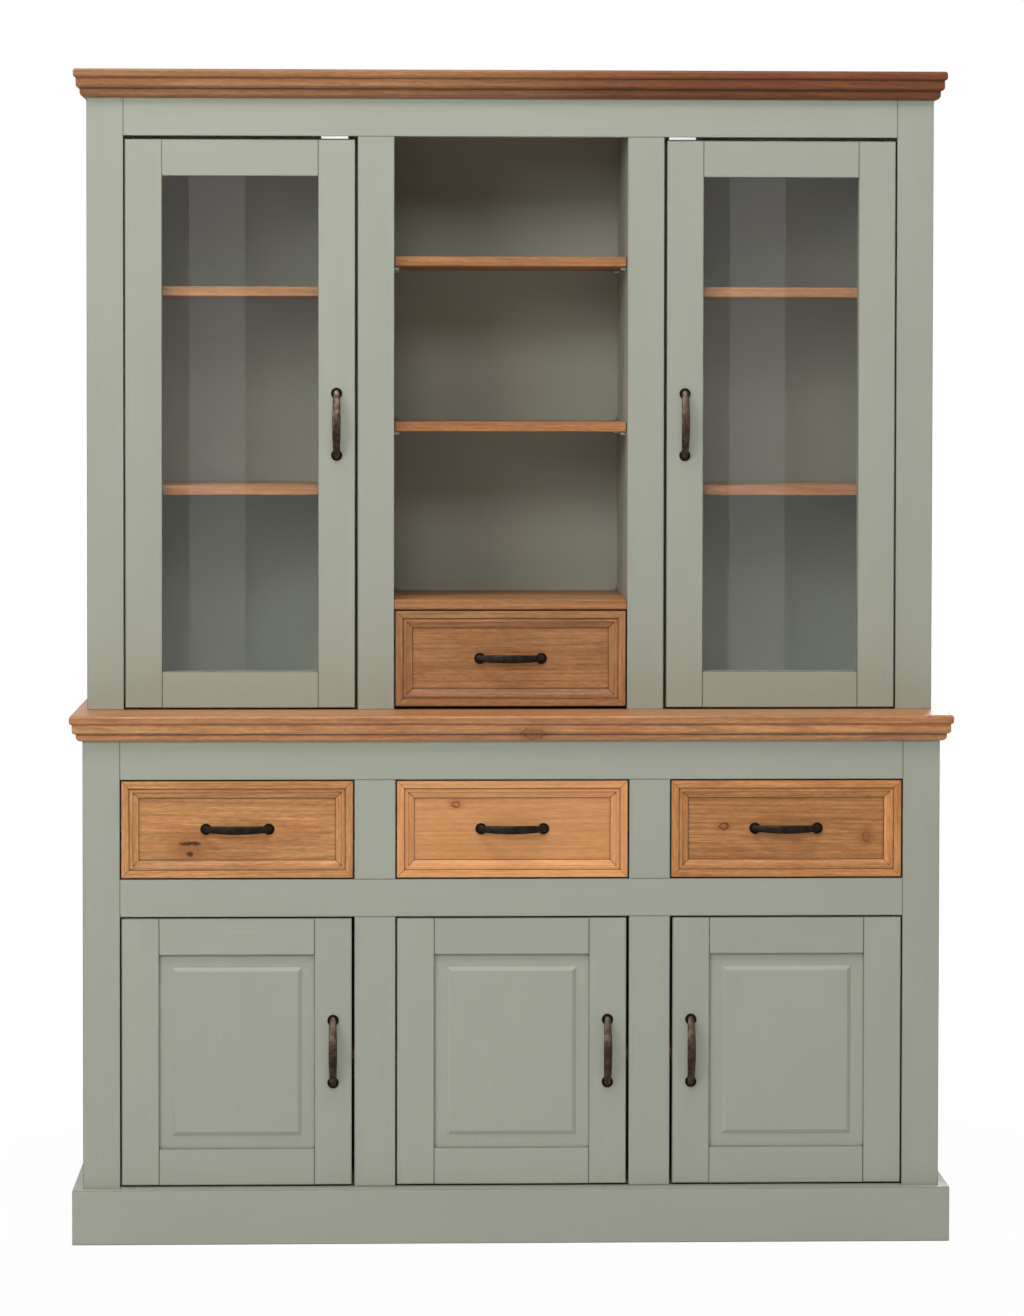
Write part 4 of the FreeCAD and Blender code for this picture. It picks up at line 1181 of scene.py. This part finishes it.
@dataclass
class BowHandle(Assembly):
    """A hammered bow pull between two dished rosettes; lengths in metres."""

    node: str
    body: str
    lie: Lie
    finish: Finish
    cup: Finish
    centres: float = 0.110
    reach: float = 0.0610
    strap_middle: float = 0.0150
    strap_end: float = 0.0100
    strap_thick: float = 0.0046
    end_thinness: float = 0.72
    swell: float = 0.8
    bow: float = 1.22
    tip_start: float = 0.9
    tip_thinning: float = 0.35
    tip_least: float = 0.02
    wide_power: float = 0.75
    deep_power: float = 0.85
    seat: float = 0.0040
    step: float = 0.01
    stations: int = 60
    sides: int = 20
    cup_sides: int = 40
    cup_profile: tuple[Span, ...] = (
        (0.0100, 0.0), (0.0100, 0.0013), (0.0097, 0.0021), (0.0090, 0.0026),
        (0.0082, 0.0025), (0.0076, 0.0019), (0.0070, 0.0015), (0.0063, 0.0016),
        (0.0056, 0.0023), (0.0048, 0.0030), (0.0034, 0.0036), (0.0016, 0.0039),
    )

    def section(self, share: float) -> Span:
        """Half width and half thickness of the strap.

        Args:
            share: Place along the strap, from -1 to 1.

        Returns:
            The two sizes.
        """
        belly = math.cos(share * math.pi / 2) ** self.swell
        tip = max(0.0, (abs(share) - self.tip_start) / (1 - self.tip_start))
        half = (self.strap_end + (self.strap_middle - self.strap_end) * belly) / 2
        thick = self.strap_thick / 2 * (self.end_thinness + (1 - self.end_thinness) * belly)
        return half * math.sqrt(max(self.tip_least, 1 - tip**2)), thick * (1 - self.tip_thinning * tip)

    def line(self, share: float, crown: float) -> Vector:
        """Centre line of the strap, at a place from -1 to 1 and with its top at a height."""
        rise = max(0.0, 1 - share**2) ** self.bow
        return Vector((self.reach * share, 0.0, self.seat + (crown - self.seat) * rise))

    def strap(self, shell: bmesh.types.BMesh, projection: float) -> None:
        """Build the bowed strap.

        Args:
            shell: The mesh to add to.
            projection: How far the bow stands out from the front.
        """
        crown = projection - self.strap_thick / 2
        rings = []
        for index in range(self.stations + 1):
            share = -1 + 2 * index / self.stations
            ahead = self.line(min(1.0, share + self.step), crown)
            forward = (ahead - self.line(max(-1.0, share - self.step), crown)).normalized()
            outward = forward.cross(Vector((0.0, 1.0, 0.0)))
            half, thick = self.section(share)
            ring = []
            for side in range(self.sides):
                turn = 2 * math.pi * side / self.sides
                wide = math.copysign(abs(math.cos(turn)) ** self.wide_power, math.cos(turn)) * half
                deep = math.copysign(abs(math.sin(turn)) ** self.deep_power, math.sin(turn)) * thick
                ring.append(self.line(share, crown) + Vector((0.0, wide, 0.0)) + outward * deep)
            rings.append(ring)
        skin(shell, rings)

    def rosette(self, shell: bmesh.types.BMesh, along: float) -> None:
        """Build one dished rosette.

        Args:
            shell: The mesh to add to.
            along: Its place along the handle.
        """
        angles = [2 * math.pi * index / self.cup_sides for index in range(self.cup_sides)]
        rings = [
            [(along + radius * math.cos(angle), radius * math.sin(angle), height) for angle in angles]
            for radius, height in self.cup_profile
        ]
        skin(shell, rings, 1)

    def build(self) -> None:
        """Build the handle where its CAD node stands."""
        low, high = (Vector(corner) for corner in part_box(self.node))
        shell = bmesh.new()
        self.strap(shell, high.y - low.y)
        for end in (-1, 1):
            self.rosette(shell, end * self.centres / 2)
        if self.lie is Lie.ACROSS:
            along, across = Vector((1.0, 0.0, 0.0)), Vector((0.0, 0.0, 1.0))
        else:
            along, across = Vector((0.0, 0.0, 1.0)), Vector((-1.0, 0.0, 0.0))
        turn = Matrix((along, across, Vector((0.0, -1.0, 0.0)))).transposed().to_4x4()
        turn.translation = Vector(((low.x + high.x) / 2, high.y, (low.z + high.z) / 2))
        shell.transform(turn)
        piece = fit_piece(shell, f"{self.node}_cast", self.body, (self.finish, self.cup))
        piece.data.polygons.foreach_set("use_smooth", [True] * len(piece.data.polygons))
        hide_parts(self.node)


@dataclass
class Base(Assembly):
    """The painted lower unit with its plinth and inner boards; eased widths in metres."""

    outer_ease: float = 0.0014
    frame_ease: float = 0.0006

    def build(self) -> None:
        """Dress the boards of the lower unit."""
        self.dress("base_face_frame", SAGE, self.frame_ease)
        for node in ("plinth", "base_side_left", "base_side_right", "base_floor", "base_back",
                     "base_partition_left", "base_partition_right"):
            self.dress(node, SAGE, self.outer_ease)
        self.dress("base_shelves", SHELF_PINE, self.outer_ease)
        self.dress("drawer_runners", BARE_PINE, self.outer_ease)


@dataclass
class Hutch(Assembly):
    """The painted upper unit with its niche and shelves; eased widths in metres."""

    outer_ease: float = 0.0014
    frame_ease: float = 0.0006

    def build(self) -> None:
        """Dress the boards of the upper unit."""
        self.dress("hutch_face_frame", SAGE, self.frame_ease)
        for node in ("hutch_side_left", "hutch_side_right", "hutch_partition_left", "hutch_partition_right",
                     "hutch_back", "hutch_floor"):
            self.dress(node, SAGE, self.outer_ease)
        for node in ("niche_floor", "hutch_shelves"):
            self.dress(node, SHELF_PINE, self.outer_ease)


@dataclass
class Tops(Assembly):
    """The worktop and the cornice with their mitred mouldings; eased widths in metres."""

    ease: float = 0.0006

    def build(self) -> None:
        """Dress the boards and mouldings."""
        self.dress("worktop_board", TOP_PINE, self.ease)
        self.dress("worktop_moulding", LIT_TRIM_PINE, self.ease)
        self.dress("cornice_board", CORNICE_PINE, self.ease)
        self.dress("cornice_moulding", CORNICE_PINE, self.ease)


@dataclass
class Door(Assembly):
    """What both kinds of door have: a frame, fittings and a handle; eased widths in metres."""

    body: str
    ease: float = 0.0012

    def build(self) -> None:
        """Dress the frame and the fittings, and build the handle."""
        self.dress(f"{self.body}_frame", SAGE_DOOR, self.ease)
        self.dress(f"{self.body}_fittings", PLATED)
        BowHandle(f"{self.body}_handle", self.body, Lie.UPRIGHT, DOOR_BRONZE, CUP_BRONZE).build()


@dataclass
class PanelDoor(Door):
    """A base door, with a raised panel in its frame."""

    def build(self) -> None:
        """Dress the panel and the rest of the door."""
        self.dress(f"{self.body}_panel", SAGE, self.ease)
        super().build()


@dataclass
class GlazedDoor(Door):
    """A hutch door, with a pane and its beads in its frame."""

    def build(self) -> None:
        """Dress the pane, its beads and the rest of the door."""
        self.dress(f"{self.body}_beads", SAGE, self.ease)
        self.dress(f"{self.body}_glass", PANE)
        super().build()


@dataclass
class Drawer(Assembly):
    """A drawer: moulded pine front, bare box and handle; lengths in metres."""

    body: str
    early: Colour
    late: Colour
    warm: Colour
    knots: tuple[Knot, ...] = ()
    contrast: float = 0.45
    fibre: float = 1.0
    strip_gain: float = 1.16
    ring_width: float = 0.0062
    ease: float = 0.0008

    def build(self) -> None:
        """Dress the drawer and build its handle."""
        finish = PineFinish(
            f"{self.body}_pine", early=self.early, late=self.late, warm=self.warm, ring_width=self.ring_width,
            contrast=self.contrast, fibre=self.fibre, knots=self.knots, strip_gain=self.strip_gain,
        )
        self.dress(f"{self.body}_front", finish, self.ease)
        self.dress(f"{self.body}_box", BARE_PINE, self.ease)
        BowHandle(f"{self.body}_handle", self.body, Lie.ACROSS, DRAWER_BRONZE, CUP_BRONZE).build()


@dataclass
class CatchLip:
    """The moulded lip of a catch that shows in the gap above a glazed door; lengths in metres."""

    name: str
    middle: float
    width: float = 0.048
    low: float = 1.9434
    high: float = 1.9485
    front: float = -0.0860
    back: float = -0.0640
    nose: float = 0.0016
    nose_steps: int = 6
    end_round: float = 0.0006
    grooves: tuple[float, ...] = (0.65, 0.4)
    groove: tuple[Span, ...] = ((0.0008, 0.0), (0.0003, 0.0007), (-0.0003, 0.0007), (-0.0008, 0.0))

    def outline(self, shrink: float) -> list[Span]:
        """The lip's section: a round nose in front, two grooves below and a flat top.

        Args:
            shrink: How far the section draws in, for the rounded ends.

        Returns:
            Depth and height of each point.
        """
        front, back = self.front + shrink, self.back - shrink
        low, high = self.low + shrink, self.high - shrink
        points = [(back, low)]
        for share in self.grooves:
            middle = front + (back - front) * share
            points += [(middle + wide, low + deep) for wide, deep in self.groove]
        for step in range(self.nose_steps + 1):
            turn = math.pi / 2 * step / self.nose_steps
            points.append((front + self.nose * (1 - math.sin(turn)), low + self.nose * (1 - math.cos(turn))))
        return [*points, (front, high), (back, high)]

    def build(self) -> None:
        """Build the lip under the rail."""
        shell = bmesh.new()
        half = self.width / 2
        cut = self.end_round
        rings = []
        for across, shrink in ((-half, cut), (-half + cut, 0.0), (half - cut, 0.0), (half, cut)):
            rings.append([(self.middle + across, deep, up) for deep, up in self.outline(shrink)])
        skin(shell, rings)
        fit_piece(shell, self.name, "carcass", (MOULDED,))


@dataclass
class DoorStop:
    """A lath on the back of a stile that a glazed door shuts against; lengths in metres."""

    name: str
    left: float
    right: float
    front: float = -0.0664
    thick: float = 0.0090
    low: float = 0.9490
    high: float = 1.9440
    chamfer: float = 0.0012

    def build(self) -> None:
        """Build the lath with its eased arrises, and lay its grain."""
        shell = bmesh.new()
        rings = []
        front, back, cut = self.front, self.front + self.thick, self.chamfer
        for up, shrink in ((self.low, cut), (self.low + cut, 0.0), (self.high - cut, 0.0), (self.high, cut)):
            left, right = self.left + shrink, self.right - shrink
            outline = (
                (left, front), (right, front), (right, back - cut),
                (right - cut, back - shrink), (left + cut, back - shrink), (left, back - cut),
            )
            rings.append([(across, deep, up) for across, deep in outline])
        skin(shell, rings)
        piece = fit_piece(shell, self.name, "carcass", (SAGE,))
        points = np.array([point.co for point in piece.data.vertices])
        Assembly.joinery.lay_grain(piece, points, np.zeros(len(points), int))


@dataclass
class SmallFittings(Assembly):
    """Shelf pins, catches, the fixed halves of the door pivots and the door stops; lengths in metres."""

    left_lip: float = -0.3134
    right_lip: float = 0.3045
    stop_inner: float = 0.2610
    stop_outer: float = 0.2830

    def build(self) -> None:
        """Dress the small fittings and build the lips and laths."""
        self.dress("shelf_pins", MOULDED)
        self.dress("magnet_catches", MOULDED)
        self.dress("pivot_sockets", PLATED)
        CatchLip("left_catch_lip", self.left_lip).build()
        CatchLip("right_catch_lip", self.right_lip).build()
        DoorStop("left_door_stop", -self.stop_outer, -self.stop_inner).build()
        DoorStop("right_door_stop", self.stop_inner, self.stop_outer).build()


@dataclass(frozen=True)
class Softbox:
    """A soft lamp that the camera doesn't see; lengths in metres, power in watts."""

    name: str
    place: Triple
    size: Span
    power: float
    aim: Triple = (0.0, 0.0, 1.0)

    def hang(self) -> None:
        """Hang the lamp and point it at its aim."""
        data = bpy.data.lights.new(self.name, "AREA")
        data.shape = "RECTANGLE"
        data.size, data.size_y = self.size
        data.energy = self.power
        lamp = bpy.data.objects.new(self.name, data)
        lamp.location = self.place
        lamp.visible_camera = False
        lamp.rotation_euler = (Vector(self.aim) - Vector(self.place)).to_track_quat("-Z", "Y").to_euler()
        bpy.context.scene.collection.objects.link(lamp)


# High lamps in front and at each side, a lamp and two fills behind, and two strips that the panes mirror
LAMPS = (
    Softbox("front_lamp", (-0.3, -5.5, 4.4), (2.4, 1.6), 70.0, aim=(0.0, 0.0, 1.1)),
    Softbox("left_lamp", (-3.7, -4.2, 3.2), (2.4, 2.0), 92.0),
    Softbox("right_lamp", (3.7, -4.2, 3.2), (2.4, 2.0), 11.0),
    Softbox("high_lamp", (-0.7, -2.4, 6.2), (3.2, 1.6), 177.0),
    Softbox("back_lamp", (0.8, 4.8, 2.6), (2.4, 2.0), 95.0),
    Softbox("left_fill", (-4.6, 1.6, 2.2), (2.0, 2.0), 42.0),
    Softbox("right_fill", (4.6, 1.6, 2.2), (2.0, 2.0), 42.0),
    Softbox("left_strip_lamp", (-0.8785, -8.5, 1.35), (0.217, 3.0), 0.8, aim=(-0.8785, 0.0, 1.35)),
    Softbox("right_strip_lamp", (1.2215, -8.5, 1.35), (0.217, 3.0), 0.8, aim=(1.2215, 0.0, 1.35)),
)


@dataclass
class Studio:
    """Pale floor, white surround, soft lamps and the camera; lengths in metres, angles in degrees."""

    picture: tuple[int, int] = (1024, 1316)
    camera_place: Triple = (-0.2212, -7.204, 1.5212)
    turn_right: float = 1.796
    tip_down: float = 1.727
    roll: float = 0.084
    focal_pixels: float = 4000.0
    axis_rise: float = 160.0
    sensor: float = 36.0
    farthest: float = 100.0
    ambient: float = 0.075
    room: float = 0.46
    room_ends: Span = (-0.7, 0.0)
    floor_half: float = 30.0
    floor_drop: float = 0.0004

    def surround(self) -> None:
        """Set the white surround, dimmer in front, where the room mirrors in the panes."""
        world = bpy.data.worlds.new("studio")
        world.use_nodes = True
        bpy.context.scene.world = world
        bench = Bench(world.node_tree)
        light = world.node_tree.nodes["Background"]
        bench.fill(light, Color=WHITE, Strength=self.ambient)
        _, deep, _ = bench.split(bench.node("ShaderNodeTexCoord").outputs["Generated"])
        room = bench.ramp(deep, *self.room_ends, self.room, 1.0)
        white = bench.node("ShaderNodeBackground")
        bench.fill(white, Color=WHITE, Strength=bench.unless_mirrored(room))
        bench.choose(bench.seen(), light, white, "World Output")

    def floor(self) -> None:
        """Lay the pale floor just under the plinth."""
        shell = bmesh.new()
        bmesh.ops.create_grid(shell, x_segments=2, y_segments=2, size=self.floor_half)
        mesh = bpy.data.meshes.new("studio_floor")
        shell.to_mesh(mesh)
        shell.free()
        floor = bpy.data.objects.new("studio_floor", mesh)
        floor.location.z = -self.floor_drop
        bpy.context.scene.collection.objects.link(floor)
        mesh.materials.append(FloorFinish("pale_floor", self.room).material())

    def camera(self) -> None:
        """Set up the camera as the picture was taken: a little left of the middle, above half height."""
        yaw, pitch, roll = (math.radians(angle) for angle in (self.turn_right, self.tip_down, self.roll))
        level = math.cos(pitch)
        forward = Vector((math.sin(yaw) * level, math.cos(yaw) * level, -math.sin(pitch)))
        right = Vector((math.cos(yaw), -math.sin(yaw), 0.0))
        up = right.cross(forward)
        across = math.cos(roll) * right + math.sin(roll) * up
        crown = math.cos(roll) * up - math.sin(roll) * right
        turn = Matrix((across, crown, -forward)).transposed().to_4x4()
        turn.translation = Vector(self.camera_place)
        data = bpy.data.cameras.new("picture_camera")
        data.sensor_width = self.sensor
        data.lens = self.sensor * self.focal_pixels / max(self.picture)
        data.shift_y = -self.axis_rise / max(self.picture)
        data.clip_end = self.farthest
        camera = bpy.data.objects.new("picture_camera", data)
        camera.matrix_world = turn
        bpy.context.scene.collection.objects.link(camera)
        bpy.context.scene.camera = camera

    def build(self) -> None:
        """Set up the whole studio."""
        bpy.context.scene.view_settings.view_transform = "Standard"
        self.surround()
        self.floor()
        for lamp in LAMPS:
            lamp.hang()
        self.camera()
        LOG.info("studio: floor, surround, lamps and camera")


DRAWERS = (
    Drawer(
        "left_drawer", tint(202, 145, 91), tint(158, 97, 51), tint(183, 121, 68),
        (Knot(-0.566, 0.6955, 0.021, 0.62, cracked=1.0),),
    ),
    Drawer(
        "middle_drawer", tint(222, 159, 102), tint(177, 108, 59), tint(208, 141, 84),
        (Knot(-0.099, 0.771, 0.008),), contrast=0.2, fibre=0.5,
    ),
    Drawer(
        "right_drawer", tint(200, 139, 84), tint(154, 92, 46), tint(179, 116, 62),
        (Knot(0.3735, 0.732, 0.009), Knot(0.6246, 0.713, 0.008, 1.3, dark=0.3)),
    ),
    Drawer("hutch_drawer", tint(188, 133, 86), tint(139, 89, 51), tint(166, 111, 66), strip_gain=0.98),
)


def main() -> None:
    """Build the studio and every sub-assembly in order."""
    logging.basicConfig(level=logging.INFO, format="%(name)s: %(message)s")
    Studio().build()
    Base().build()
    Tops().build()
    Hutch().build()
    for side in ("left", "middle", "right"):
        PanelDoor(f"{side}_base_door").build()
    for side in ("left", "right"):
        GlazedDoor(f"{side}_glass_door").build()
    for drawer in DRAWERS:
        drawer.build()
    SmallFittings().build()
    bpy.context.view_layer.update()


if __name__ == "__main__":
    main()
